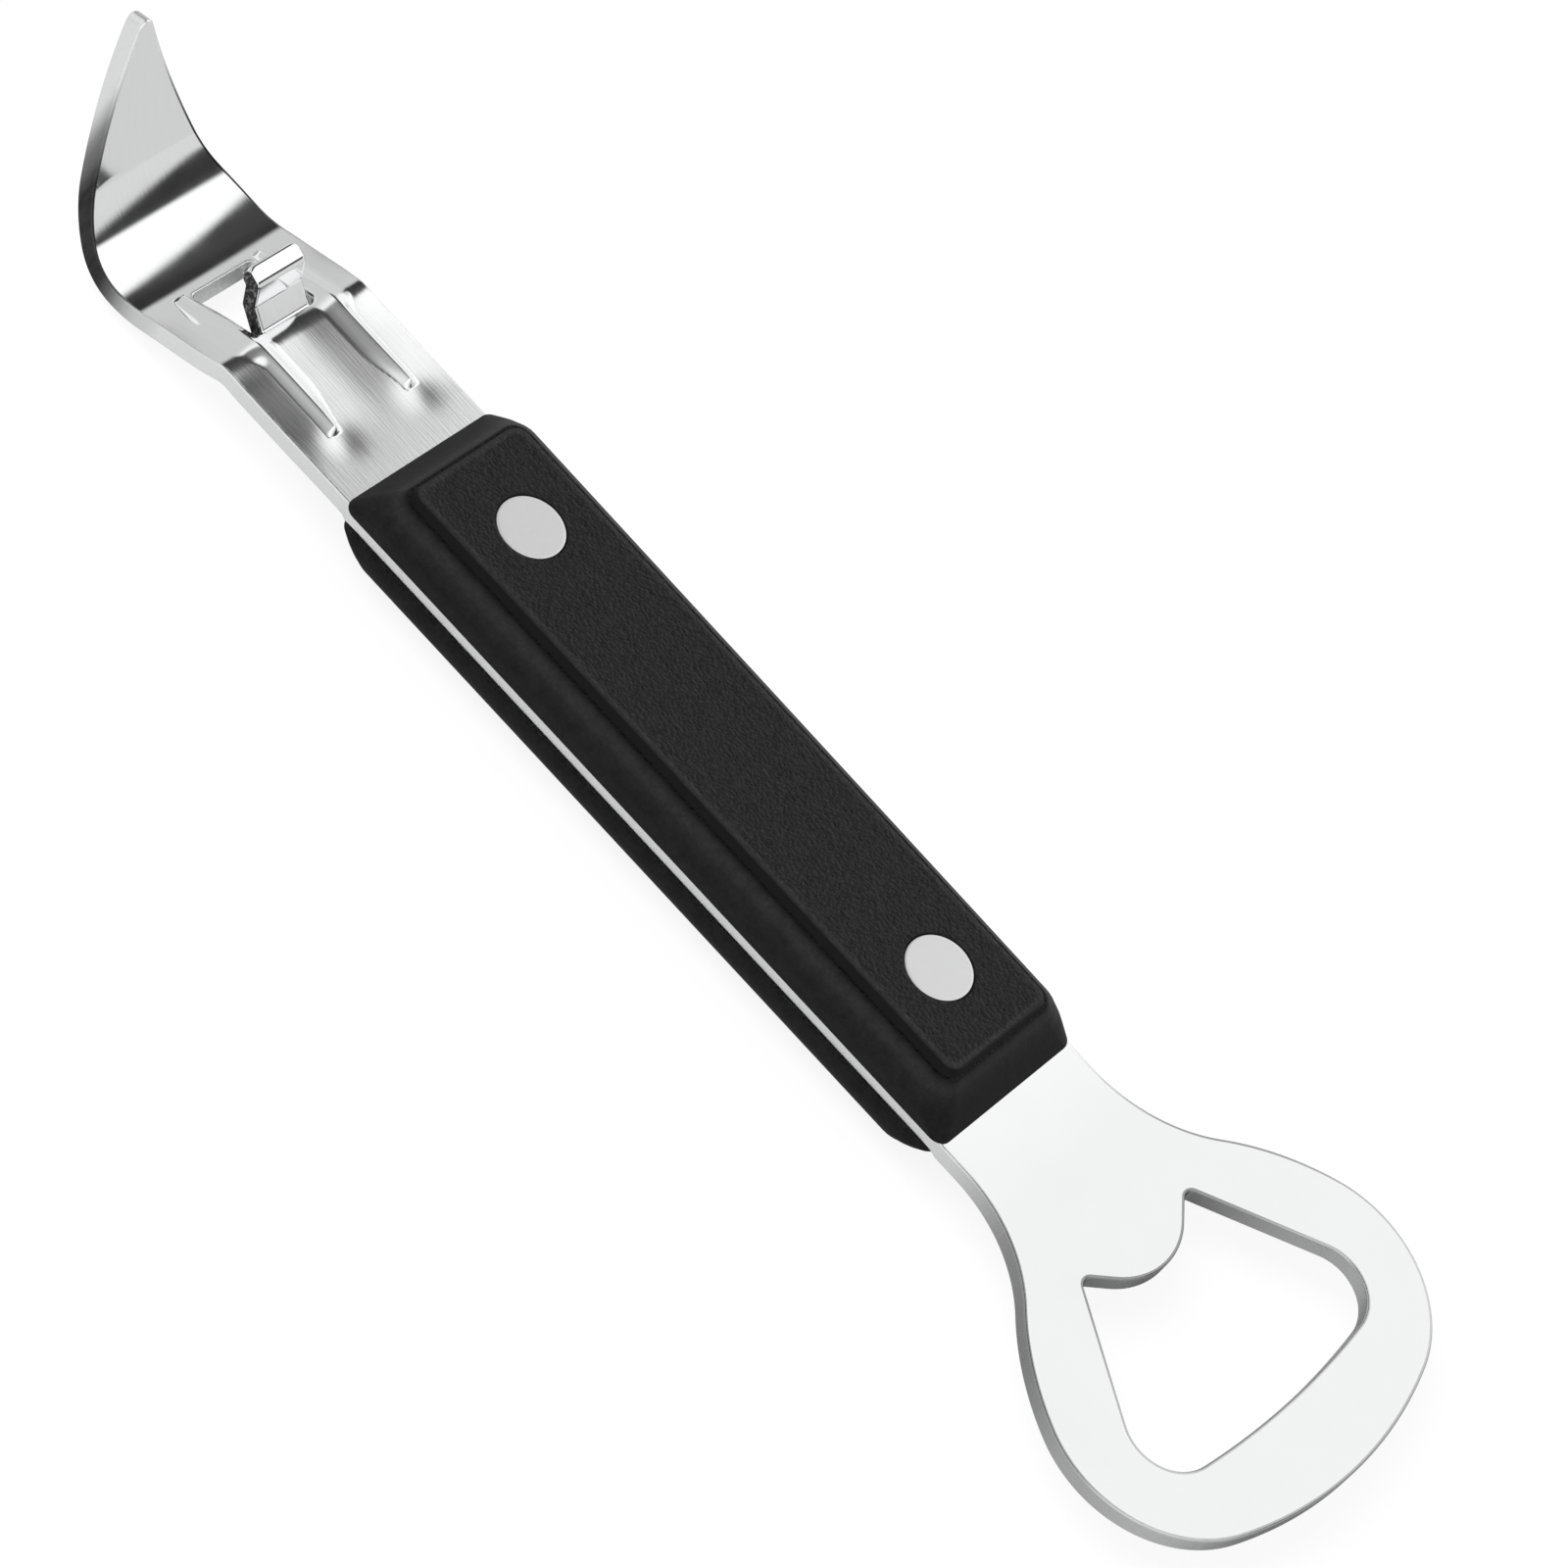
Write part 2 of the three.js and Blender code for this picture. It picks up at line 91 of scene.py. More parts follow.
# The punch, as lengths and turns of the front face from just before the fold to the tip. The fold's
# round stretch starts a little past FOLD_X.
FOLD_X = -57.8
LAP = 3
FOLD_RADIUS = 6
FOLD_DELAY = 0.3
FOLD_ANGLE = math.radians(21)
SLOPE_LENGTH = 9.4
BELLY_RADIUS = 10.25
BELLY_ANGLE = math.radians(79)
POINT_RADIUS = 56
POINT_LENGTH = 15.6
PUNCH_RUN = (
    (LAP + FOLD_DELAY, 0),
    (FOLD_RADIUS * FOLD_ANGLE, FOLD_ANGLE),
    (SLOPE_LENGTH, 0),
    (BELLY_RADIUS * BELLY_ANGLE, -BELLY_ANGLE),
    (POINT_LENGTH, -POINT_LENGTH / POINT_RADIUS),
)
PUNCH_LENGTH = sum(length for length, _ in PUNCH_RUN) - LAP
PUNCH_HALF_WIDTH = 10.25
FLARE_LENGTH = 5
POINT_HALF_ANGLE = math.radians(22.4)
POINT_SHOULDER_RADIUS = 14
TIP_RADIUS = 1

# The window in the slope, as distances past the fold, and the tab that is folded up out of it. The
# tab's stretches are lengths and rises. Its radii run along the front to its end, and back again.
# TAB_SIDE_STEPS are the depths in from each side at which it has a ring of points.
WINDOW_START = 2.6
WINDOW_END = 11.1
WINDOW_HALF_WIDTH = 4.3
WINDOW_CORNER = 0.7
TAB_HALF_WIDTH = 3.5
TAB_THICKNESS = 1.6
TAB_ROOT = 1.2
TAB_ROOT_DEPTH = 0.05
TAB_EDGE = 0.4
TAB_EDGE_SHARE = 0.8
TAB_CORNER = 1.0
TAB_CORNER_SHARE = 0.75
TAB_SIDE_STEPS = (0, 0.03, 0.1, 0.2, 0.32, 0.4, 0.55, 0.75, 1)
TAB_SHEARED = 0.25
TAB_STRETCHES = ((2.6, math.radians(42)), (2.7, math.radians(74)), (2.1, math.radians(22)))
TAB_FRONT_RADII = (0.2, 0.45, 0.6, 0.9, 0.45)
TAB_BACK_RADII = (0.55, 0.4, 0.4, 0.6, 0.2)

# The ribs pressed through the fold on either side of the window. Pairs are distances past the fold
# over which something grows or fades.
RIB_START = -10.2
RIB_END = 11.6
RIB_CREST_Y = 5.4
RIB_INNER_FOOT = 3.3
RIB_OUTER_FOOT = 6.6
RIB_HEIGHT = 0.7
RIB_RUNOUT = 0.6
RIB_SPREAD = 6
RIB_END_SHARE = 0.4
SLOPE_FOOT = 8.2
SLOPE_FOOT_GROWTH = (-1, 2)
SLOPE_FOOT_RUNOUT = 5

# What the ribs pull with them: bands at the sheet's sides, a dish where each rib starts, and a valley
# between them whose pairs are distances before the fold. The scoop turns the punch's sides up.
BAND_DROP = 0.2
BAND_CURVE = 1.15
BAND_RUNOUT = 3
BAND_FADE = (-1.5, 2)
DISH_DEPTH = 0.12
DISH_LEAD = 0.7
DISH_RADIUS = 1.8
VALLEY_DEPTH = 0.1
VALLEY_GROWTH = (-3, 0)
VALLEY_FADE = (7, 13)
SCOOP_DEPTH = 0.35
SCOOP_GROWTH = (2, 14)

# The cap lifter's outline and its mouth.
LOBE = np.array((73.4, 10.2))
LOBE_RADIUS = 13.9
FLANK_RADIUS = 31.2
FLANK_ANGLE = math.radians(-66)
NECK_FILLET = 18
NOSE_RADIUS = 44
TONGUE = np.array((54.75, 0))
TONGUE_RADIUS = 8.5
NOTCH = np.array((60.35, 8.05))
NOTCH_RADIUS = 0.95
MOUTH_CORNER = np.array((74.5, 12))
MOUTH_CORNER_RADIUS = 4.9
MOUTH_FAR_RADIUS = 96

# The handle scales: a straight skirt, sloped sides and a flat face with a shallow groove round it.
# The corner radii are at the foot, at the top of the skirt and at the face. A curve's number is how
# many points it has.
HANDLE_HALF_LENGTH = float(FRONT_HIGH[0])
HANDLE_WIDE_HALF = float(FRONT_HIGH[1])
HANDLE_NARROW_HALF = HANDLE_WIDE_HALF - 0.5
SCALE_HEIGHT = float(FRONT_HIGH[2] - FRONT_LOW[2])
SKIRT_HEIGHT = 2.5
BEND_BELOW = 1.2
BEND_ABOVE = 0.8
SIDE_SLOPE = 3.3
END_SLOPE = 4.2
FRONT_CORNERS = (1.5, 3.2, 1.2)
BACK_CORNERS = (1.6, 3.4, 1.2)
FRONT_CHAMFER = 0.05
BACK_CHAMFER = 0.5
GROOVE_WIDTH = 0.85
GROOVE_DEPTH = 0.26
GROOVE_LIP = 0.12
GROOVE_ENTRY = 0.3
GROOVE_EXIT = 0.05
FACE_ROUNDING = 0.4
FACE_HOLD = 0.25
LONG_CURVE = 9
LIP_CURVE = 6
ENTRY_CURVE = 4

# How much light and shade is painted into the plastic: a painted highlight at the face's rim, painted shade
# in the groove and painted light half-way up the slope.
LIP_PAINTED_HIGHLIGHT = 0.22
GROOVE_PAINTED_SHADE = -1.0
SLOPE_PAINTED_LIGHT = 0.22

# The rivets, whose heads lie flush in round pockets of the scales.
RIVET_HEAD_RADIUS = 3.55
RIVET_HEAD_HEIGHT = 1.4
RIVET_HEAD_GAP = 0.12
RIVET_TUBE_RADIUS = 2.5
RIVET_BORE_RADIUS = 1.6
RIVET_BORE_DEPTH = 8
RIVET_PIN_RADIUS = 1.3
RIVET_RIM = 0.1
RIVET_RIM_STEPS = 4
RIVET_HOLD = 0.3
POCKET_ROUNDING = 0.06
POCKET_HOLD = 0.2
SHARP_ANGLE = math.radians(50)

# The blade's materials, in their order on the mesh.
STEEL_SLOT, EDGE_SLOT, SHEARED_SLOT = range(3)

# The finishes. Places along X and bump distances are in metres, and noise scales are per metre, as
# a shader has them. A noise is its scale, detail and roughness, and a bump its strength and distance.
NOISE_RANGE = (0.3, 0.7)
BRUSH_STARTS = (-0.064, -0.053)
BRUSH_ENDS = (-0.03, 0.03)
BRUSH_DEPTH = 0.2
BRUSH_ROUGHNESS = 0.12
BRUSH_DISTANCE = 0.00002
FINE_LINES = (300, 4200, 300)
COARSE_LINES = (70, 1000, 70)
COARSE_SHARE = 0.35
POLISH_RUN = (-0.01, 0.04)
POLISH_DEPTH = (0.07, 0.012)
POLISH_STREAKS = (0.25, 0.03)
RING_RUN = (0.03, 0.05)
RING_SHADES = (0.6, 0.12)
STEEL_CLOUDS = (160.0, 3.0)
STEEL_ROUGHNESS = (0.07, 0.12)
STEEL_COLOURS = ((0.72, 0.722, 0.725), (0.90, 0.903, 0.907))

EDGE_GRAIN = (1500, 1500, 160)
EDGE_GRAIN_SHARE = 0.06
EDGE_ROUGHNESS = (0.2, 0.3)
# The cut edge's colours run from the dark of its painted shade to its own pale steel.
EDGE_COLOURS = ((0.02, 0.02, 0.02), (0.95, 0.955, 0.96))
EDGE_RIM_TINT = (0.6, 0.6, 0.6, 1.0)
EDGE_BUMP = (0.01, 0.00002)

# Painted shade on the cut edge at places along X: how bright it is, dark at the punch's belly and dull
# round the ring, standing in for the shade that the edge reflects there.
PAINTED_EDGE_SHADE_SPAN = (-0.09, 0.09)
PAINTED_EDGE_SHADE_LEVELS = (
    (-0.09, 1.0), (-0.0864, 1.0), (-0.0837, 0.2), (-0.08154, 0.0), (-0.07506, 0.0),
    (-0.06894, 0.8), (-0.0657, 1.0), (0.0396, 0.95), (0.054, 0.35), (0.0612, 0.3),
    (0.072, 0.5), (0.081, 0.6), (0.09, 0.45),
)

TEAR_SCALE = (2600, 2600, 1500)
TEAR_NOISE = (1.0, 5.0, 0.75)
TEAR_RANGE = (0.5, 0.72)
TEAR_ROUGHNESS = (0.45, 0.25)
TEAR_COLOURS = ((0.04, 0.04, 0.04), (0.5, 0.5, 0.51))
TEAR_BUMP = (0.5, 0.0001)

FLAT_FACE = (0.9, 0.99)
SLOPE_GRAIN = 0.12
PEBBLE_STRETCH = (0.85, 1.0, 1.0)
PEBBLE_SCALE = 3600.0
PEBBLE_WARP = (2600.0, 2.0)
PEBBLE_WARP_SHARE = 0.9
PEBBLE_DEPTH = 0.8
PEBBLE_DISTANCE = 0.00017
PIT_RANGE = (0.45, 1.1)
PIT_PALER = 0.16
# How strongly the painted light and shade pale or darken the plastic, and the noise that makes them uneven
# in patches.
PAINTED_LIGHT_STRENGTH = 0.8
PAINTED_LIGHT_NOISE = (2200.0, 4.0, 0.7)
PAINTED_LIGHT_UNEVEN = (0.6, 1.4)
MOTTLE_NOISE = (700.0, 5.0, 0.8)
MOTTLE_RANGE = (0.35, 0.7)
MOTTLE_SHADES = (-0.04, 0.1)
MOTTLE_ROUGHNESS = 0.08
PLASTIC_SHADE = 0.015
# The pale colour is reached by the pits, the mottle and the painted highlight at the rim.
PLASTIC_COLOURS = ((0.001, 0.001, 0.0012), (0.08, 0.08, 0.081))
PLASTIC_ROUGHNESS = (0.55, 0.42)
PLASTIC_SPECULAR = 0.2

SPECK_NOISE = (2500.0, 2.0)
RIVET_COLOURS = ((0.84, 0.84, 0.845), (0.9, 0.9, 0.905))
RIVET_ROUGHNESS = (0.42, 0.5)
RIVET_METALLIC = 0.85
RIVET_BUMP = (0.08, 0.00003)

# The floor, which mostly glows where the camera sees it, so that the shadows on it stay pale.
FLOOR_HALF = 1500
FLOOR_GAP = 0.05
FLOOR_NOISE = (3.0, 2.0)
FLOOR_COLOURS = ((0.9, 0.9, 0.9), (0.92, 0.92, 0.92))
FLOOR_GLOW = 0.8
FLOOR_GLOW_LEVEL = 1.1

# The studio that the steel reflects. A direction has a lean, in degrees from straight up about the Y
# axis, and a Y, from -1 in front of the tool to 1 behind it. OVERHEAD, NEAR_SIDE and BACK_WALL go by
# Y and the rest by lean, but PATCH_EDGE, GAP_END and PATCH_SIDE slant, so they shift with Y too. A
# pair is where a border starts and ends.
LEAN_SPAN = (-180, 180)
STUDIO_STRIPS = (
    (-180, 0.8), (-90, 0.75), (-75, 0.68), (-50, 0.68), (-30, 1.2), (34, 1.2), (46, 0.78), (130, 0.78),
)
PATCH_LEVEL = 0.05
PATCH_MIDDLE = 0.635
PATCH_SLANT = 176
PATCH_EDGE = (-27, -15)
PATCH_SIDE = (-59, -52)
SIDE_LOW = 0.22
SIDE_SLANT = 60
GAP_START = (31, 37)
GAP_END = (50, 61)
GAP_LIMIT = (66, 74)
BEHIND_SPAN = (-1, 1)
OVERHEAD = (
    (-0.9, 0.8), (-0.7, 0.6), (-0.53, 0.36), (-0.3, 0.3),
    (-0.2, 0.3), (-0.05, 0.18), (0.06, 0.18), (0.28, 0),
)
NEAR_SIDE = (0.28, 0.42)
NEAR_LAMP = (-9, 4)
BACK_WALL = (0.86, 0.92)
BACK_WALL_LEVEL = 1.1
WORLD_LIGHT = 0.45
SOFTBOX_POWER = 1.3
SOFTBOX_SPREAD = math.radians(40)
SOFTBOX_FROM = (-0.5, -0.3, 0.85)

# The camera: where it is, where it looks and which way is right, in the part's frame. Its nearest
# and farthest sight are in metres.
CAMERA_LENS = 142.62
CAMERA_SENSOR = 36
CAMERA_CLIP = (0.01, 20)
CAMERA_AT = (86.1, -369.2, 456.5)
CAMERA_FORWARD = (-0.13717, 0.63487, -0.76034)
CAMERA_RIGHT = (0.67315, 0.62286, 0.39864)


# -------- outlines in the flat sheet


def arc(centre, radius, start, end):
    """Points of an arc, as close as the outline's turn or its step asks, whichever is closer."""
    turn = abs(end - start)
    count = max(2, math.ceil(max(turn / OUTLINE_TURN, turn * radius / OUTLINE_STEP)))
    angles = np.linspace(start, end, count + 1)
    return np.stack([centre[0] + radius * np.cos(angles), centre[1] + radius * np.sin(angles)], 1)


def angle_from(centre, target):
    return math.atan2(target[1] - centre[1], target[0] - centre[0])


def line(start, end):
    count = max(1, math.ceil(np.linalg.norm(np.subtract(end, start)) / OUTLINE_STEP))
    share = np.linspace(0, 1, count + 1)[:, None]
    return np.asarray(start) * (1 - share) + np.asarray(end) * share


def mirrored_loop(half):
    """A clockwise loop from its half with y >= 0, which runs towards +X. No point comes twice."""
    whole = np.concatenate([half, (half * (1, -1))[::-1]])
    apart = np.linalg.norm(whole - np.roll(whole, 1, 0), axis=1) > SAME_POINT
    return whole[apart]


def plate_half():
    """From the fold to the cap lifter's nose: the tang, a fillet, a flank, a lobe and the round nose."""
    span = FLANK_RADIUS - LOBE_RADIUS
    flank = LOBE + span * np.array((math.cos(FLANK_ANGLE), math.sin(FLANK_ANGLE)))
    fillet_y = TANG_HALF_WIDTH + NECK_FILLET
    reach = math.sqrt((FLANK_RADIUS + NECK_FILLET) ** 2 - (fillet_y - flank[1]) ** 2)
    fillet = np.array((flank[0] - reach, fillet_y))
    nose = np.array((LOBE[0] - math.sqrt((NOSE_RADIUS - LOBE_RADIUS) ** 2 - LOBE[1] ** 2), 0))
    under = HANDLE_HALF_LENGTH - TANG_UNDER
    return np.concatenate([
        line((FOLD_X, TANG_HALF_WIDTH), (-HANDLE_HALF_LENGTH, TANG_HALF_WIDTH)),
        line((-under, HANDLE_WIDE_HALF - TANG_INSET), (under, HANDLE_NARROW_HALF - TANG_INSET)),
        line((HANDLE_HALF_LENGTH, TANG_HALF_WIDTH), (fillet[0], TANG_HALF_WIDTH)),
        arc(fillet, NECK_FILLET, -math.pi / 2, angle_from(fillet, flank)),
        arc(flank, FLANK_RADIUS, angle_from(flank, fillet), angle_from(flank, LOBE)),
        arc(LOBE, LOBE_RADIUS, angle_from(flank, LOBE), angle_from(nose, LOBE)),
        arc(nose, NOSE_RADIUS, angle_from(nose, LOBE), 0),
    ])


def mouth_half():
    """From the tongue that lifts a cap, round a small notch and a large corner, to the far side."""
    cross = math.acos((TONGUE_RADIUS + NOTCH_RADIUS) / np.linalg.norm(NOTCH - TONGUE))
    lean = math.asin((MOUTH_CORNER_RADIUS - NOTCH_RADIUS) / np.linalg.norm(MOUTH_CORNER - NOTCH))
    side = angle_from(NOTCH, MOUTH_CORNER) + lean + math.pi / 2
    notch_start = angle_from(NOTCH, TONGUE) + 2 * math.pi - cross
    far_span = MOUTH_FAR_RADIUS - MOUTH_CORNER_RADIUS
    far = np.array((MOUTH_CORNER[0] - math.sqrt(far_span**2 - MOUTH_CORNER[1] ** 2), 0))
    corner_end = angle_from(far, MOUTH_CORNER)
    return np.concatenate([
        arc(TONGUE, TONGUE_RADIUS, 0, angle_from(TONGUE, NOTCH) - cross),
        arc(NOTCH, NOTCH_RADIUS, notch_start, side),
        arc(MOUTH_CORNER, MOUTH_CORNER_RADIUS, side, corner_end),
        arc(far, MOUTH_FAR_RADIUS, corner_end, 0),
    ])


def punch_half():
    """From the tip to the fold: a round tip, a straight taper, a round shoulder and a straight side."""
    tip_centre = FOLD_X - (PUNCH_LENGTH - TIP_RADIUS)
    apex = tip_centre - TIP_RADIUS / math.sin(POINT_HALF_ANGLE)
    reach = POINT_SHOULDER_RADIUS * math.tan(POINT_HALF_ANGLE / 2)
    shoulder = apex + PUNCH_HALF_WIDTH / math.tan(POINT_HALF_ANGLE) + reach
    tip = arc((tip_centre, 0), TIP_RADIUS, math.pi, math.pi / 2 + POINT_HALF_ANGLE)
    below = (shoulder, PUNCH_HALF_WIDTH - POINT_SHOULDER_RADIUS)
    rounded = arc(below, POINT_SHOULDER_RADIUS, math.pi / 2 + POINT_HALF_ANGLE, math.pi / 2)
    flare_from = (FOLD_X - FLARE_LENGTH, PUNCH_HALF_WIDTH)
    flare = line(flare_from, (FOLD_X, PUNCH_HALF_WIDTH))
    flare[:, 1] += (TANG_HALF_WIDTH - PUNCH_HALF_WIDTH) * smooth(flare[:, 0], flare_from[0], FOLD_X)
    return np.concatenate([tip, line(tip[-1], rounded[0]), rounded, line(rounded[-1], flare_from), flare])


def corner_centres(low, high, radius):
    """The centre of each round corner, and the angle at which a clockwise walk comes to it."""
    corners = ((low[0], high[1]), high, (high[0], low[1]), low)
    inward = ((1, -1), (-1, -1), (-1, 1), (1, 1))
    for i, (corner, way) in enumerate(zip(corners, inward)):
        yield np.asarray(corner) + np.array(way) * radius, math.pi - i * math.pi / 2


def rounded_rectangle(low, high, radius):
    """A clockwise rectangle with round corners and an outline's usual spacing."""
    turns = [arc(centre, radius, start, start - math.pi / 2)
             for centre, start in corner_centres(low, high, radius)]
    loop = []
    for turn, following in zip(turns, turns[1:] + turns[:1]):
        loop += [turn[:-1], line(turn[-1], following[0])[:-1]]
    return np.concatenate(loop)


def corner_loop(low, high, radius):
    """A clockwise rectangle with round corners and the same number of points at any size."""
    parts = []
    for centre, start in corner_centres(low, high, radius):
        angles = start - np.linspace(0, math.pi / 2, CORNER_STEPS + 1)
        parts.append(centre + radius * np.stack([np.cos(angles), np.sin(angles)], 1))
    return np.concatenate(parts)


# -------- the folded and pressed sheet


def walk(run, distance):
    """Where a path of straight and round stretches is after a distance: along, aside and its heading."""
    left = np.array(distance, float)
    along, aside, heading = (np.zeros_like(left) for _ in range(3))
    for length, turn in run:
        step = np.minimum(left, length)
        bend = turn * step / length
        chord = step * np.sinc(bend / 2 / math.pi)
        along += chord * np.cos(heading + bend / 2)
        aside += chord * np.sin(heading + bend / 2)
        heading += bend
        left -= step
    return along + left * np.cos(heading), aside + left * np.sin(heading), heading


def smooth(value, low, high):
    """0 below low and 1 above high, with an even ease between."""
    share = np.clip((value - low) / (high - low), 0, 1)
    return share**2 * (3 - 2 * share)


def rib_side(share):
    """The height of a rib's side, from a soft foot at share 0 to the crest at share 1."""
    share = np.clip(share, 0, 1)
    return share**2 * (2 - share)


def rib_section(across, distance, into):
    """A rib's height over its crest's. It narrows to its ends, and its outer foot is wider on the slope."""
    spread = RIB_END_SHARE + (1 - RIB_END_SHARE) * smooth(into, 0, RIB_SPREAD)
    reach = (RIB_CREST_Y - RIB_INNER_FOOT) * spread
    on_slope = smooth(distance, *SLOPE_FOOT_GROWTH) * smooth(into, 0, SLOPE_FOOT_RUNOUT)
    outer_foot = RIB_OUTER_FOOT + (SLOPE_FOOT - RIB_OUTER_FOOT) * on_slope
    inner = rib_side((across - RIB_CREST_Y + reach) / reach)
    outer = rib_side((outer_foot - across) / (outer_foot - RIB_CREST_Y))
    return np.minimum(inner, outer)


def pressed(x, y):
    """How far the ribs and what they pull with them lift the sheet off its plane."""
    across = np.abs(y)
    distance = FOLD_X - x
    into = np.minimum(distance - RIB_START, RIB_END - distance)
    rib = RIB_HEIGHT * rib_section(across, distance, into) * smooth(into, 0, RIB_RUNOUT)
    beside = np.clip((across - RIB_OUTER_FOOT) / (TANG_HALF_WIDTH - RIB_OUTER_FOOT), 0, 1)
    band = BAND_DROP * beside**BAND_CURVE * smooth(into, -BAND_RUNOUT, BAND_RUNOUT)
    band = band * (1 - smooth(distance, *BAND_FADE))
    away = np.hypot(distance - RIB_START + DISH_LEAD, across - RIB_CREST_Y)
    dish = DISH_DEPTH * np.exp(-((away / DISH_RADIUS) ** 2))
    valley = VALLEY_DEPTH * smooth(across, 0, RIB_CREST_Y) * smooth(-distance, *VALLEY_GROWTH)
    valley = valley * (1 - smooth(-distance, *VALLEY_FADE))
    scoop = SCOOP_DEPTH * (across / PUNCH_HALF_WIDTH) ** 2 * smooth(distance, *SCOOP_GROWTH)
    return rib - band - dish + valley + scoop


def place(x, y, height):
    """Where a point of the flat sheet ends up. height is measured from the front face."""
    along, drop, down = walk(PUNCH_RUN, FOLD_X + LAP - x)
    rise = height + pressed(x, y)
    placed_x = FOLD_X + LAP - along - rise * np.sin(down)
    placed_z = STEEL_FRONT - drop + rise * np.cos(down)
    return np.stack([placed_x, y, placed_z], 1)


def sheet_frame(x, y, height):
    """Unit vectors along and across the folded sheet and out of its front face."""
    along = place(x + NORMAL_STEP, y, height) - place(x - NORMAL_STEP, y, height)
    across = place(x, y + NORMAL_STEP, height) - place(x, y - NORMAL_STEP, height)
    along /= np.linalg.norm(along, axis=1)[:, None]
    across /= np.linalg.norm(across, axis=1)[:, None]
    out = np.cross(along, across)
    return along, across, out / np.linalg.norm(out, axis=1)[:, None]


def loop_outward(loop):
    """Unit normals of a loop that point away from the sheet, which lies to the right of the loop."""
    ahead = np.roll(loop, -1, 0) - np.roll(loop, 1, 0)
    ahead /= np.linalg.norm(ahead, axis=1)[:, None]
    return np.stack([-ahead[:, 1], ahead[:, 0]], 1)


def inside(points, loops):
    """Which points lie in the sheet: a ray from them crosses an odd number of edges of all loops."""
    odd = np.zeros(len(points), bool)
    px, py = points[:, 0:1], points[:, 1:2]
    for loop in loops:
        x1, y1 = loop.T
        x2, y2 = np.roll(loop, -1, 0).T
        spans = (y1 > py) != (y2 > py)
        slope = (x2 - x1) / np.where(y2 == y1, TINY, y2 - y1)
        odd ^= (spans & (px < x1 + (py - y1) * slope)).sum(1) % 2 == 1
    return odd


def grid_points(loops):
    """A fine grid over the folded and pressed part of the sheet, clear of its edges."""
    xs = np.arange(FOLD_X - PUNCH_LENGTH, FRONT_LOW[0] + GRID_UNDER_HANDLE, GRID_X)
    ys = np.arange(-GRID_ROWS, GRID_ROWS + 1) * GRID_Y
    points = np.stack(np.meshgrid(xs, ys, indexing="ij"), -1).reshape(-1, 2)
    points = points[inside(points, loops)]
    edge = np.concatenate(loops)
    nearest = np.array([np.min(np.sum((edge - p) ** 2, 1)) for p in points])
    return points[nearest > (GRID_Y / 2) ** 2]


def triangulate(loops, extra):
    """Triangles of the sheet inside its loops, as indices into the loops' points and then extra."""
    points = np.concatenate([*loops, extra])
    edges, start = [], 0
    for loop in loops:
        count = len(loop)
        edges += [(start + i, start + (i + 1) % count) for i in range(count)]
        start += count
    made = delaunay_2d_cdt([Vector(p) for p in points.tolist()], edges, [], 0, GRID_EPSILON, True)
    source = [ids[0] for ids in made[3]]
    triangles = np.array([[source[i] for i in face] for face in made[2] if len(face) == 3])
    return triangles[inside(points[triangles].mean(1), loops)]


def edge_section():
    """The sheet's edge from the front face to the back one: how far in, how high and which way it faces."""
    angles = np.linspace(math.pi / 2, 0, EDGE_STEPS + 1)
    front = [(EDGE_ROUNDING * (1 - math.cos(a)), EDGE_ROUNDING * (math.sin(a) - 1), a) for a in angles]
    front.insert(0, (EDGE_ROUNDING + EDGE_HOLD, 0, math.pi / 2))
    return front + [(inset, -STEEL - height, -a) for inset, height, a in front[::-1]]


def sheet_loops():
    """The sheet's outline, clockwise, and those of the mouth and the window, the other way round."""
    outer = mirrored_loop(np.concatenate([punch_half(), plate_half()]))
    window_low = (FOLD_X - WINDOW_END, -WINDOW_HALF_WIDTH)
    window_high = (FOLD_X - WINDOW_START, WINDOW_HALF_WIDTH)
    window = rounded_rectangle(window_low, window_high, WINDOW_CORNER)
    return [outer, mirrored_loop(mouth_half())[::-1], window[::-1]]


def edge_rows(loops, outward, section):
    """The rounded edge along all loops: a row of vertices and of normals for each point of its section."""
    ring, ring_out = np.concatenate(loops), np.concatenate(outward)
    verts, normals = [], []
    for inset, height, angle in section:
        flat = ring - ring_out * inset
        heights = np.full(len(ring), float(height))
        along, across, out = sheet_frame(flat[:, 0], flat[:, 1], heights)
        side = along * ring_out[:, :1] + across * ring_out[:, 1:]
        verts.append(place(flat[:, 0], flat[:, 1], heights))
        normals.append(side * math.cos(angle) + out * math.sin(angle))
    return verts, normals


def edge_faces(loops, rows):
    """The quads between the rows of the rounded edge."""
    count = sum(len(loop) for loop in loops)
    faces, start = [], 0
    for loop in loops:
        length = len(loop)
        for row in range(rows - 1):
            for i in range(length):
                a = row * count + start + i
                b = row * count + start + (i + 1) % length
                faces.append((a, b, b + count, a + count))
        start += length
    return faces


def sheet_part():
    """The whole stamping but its tab, as vertices, faces, vertex normals and material indices."""
    loops = sheet_loops()
    outward = [loop_outward(loop) for loop in loops]
    section = edge_section()
    verts, normals = edge_rows(loops, outward, section)
    faces = edge_faces(loops, len(section))
    slots = [EDGE_SLOT] * len(faces)
    held = [loop - out * section[0][0] for loop, out in zip(loops, outward)]
    grid = grid_points(held)
    triangles = triangulate(held, grid)
    count = len(verts[0])
    for front in (True, False):
        heights = np.full(len(grid), 0.0 if front else -STEEL)
        first = len(section) * count + (0 if front else len(grid))
        rim = 0 if front else (len(section) - 1) * count
        verts.append(place(grid[:, 0], grid[:, 1], heights))
        normals.append(sheet_frame(grid[:, 0], grid[:, 1], heights)[2] * (1 if front else -1))
        shifted = np.where(triangles < count, triangles + rim, triangles - count + first)
        order = (0, 1, 2) if front else (2, 1, 0)
        faces += [tuple(int(t[i]) for i in order) for t in shifted]
        slots += [STEEL_SLOT] * len(triangles)
    return np.concatenate(verts), faces, np.concatenate(normals), slots


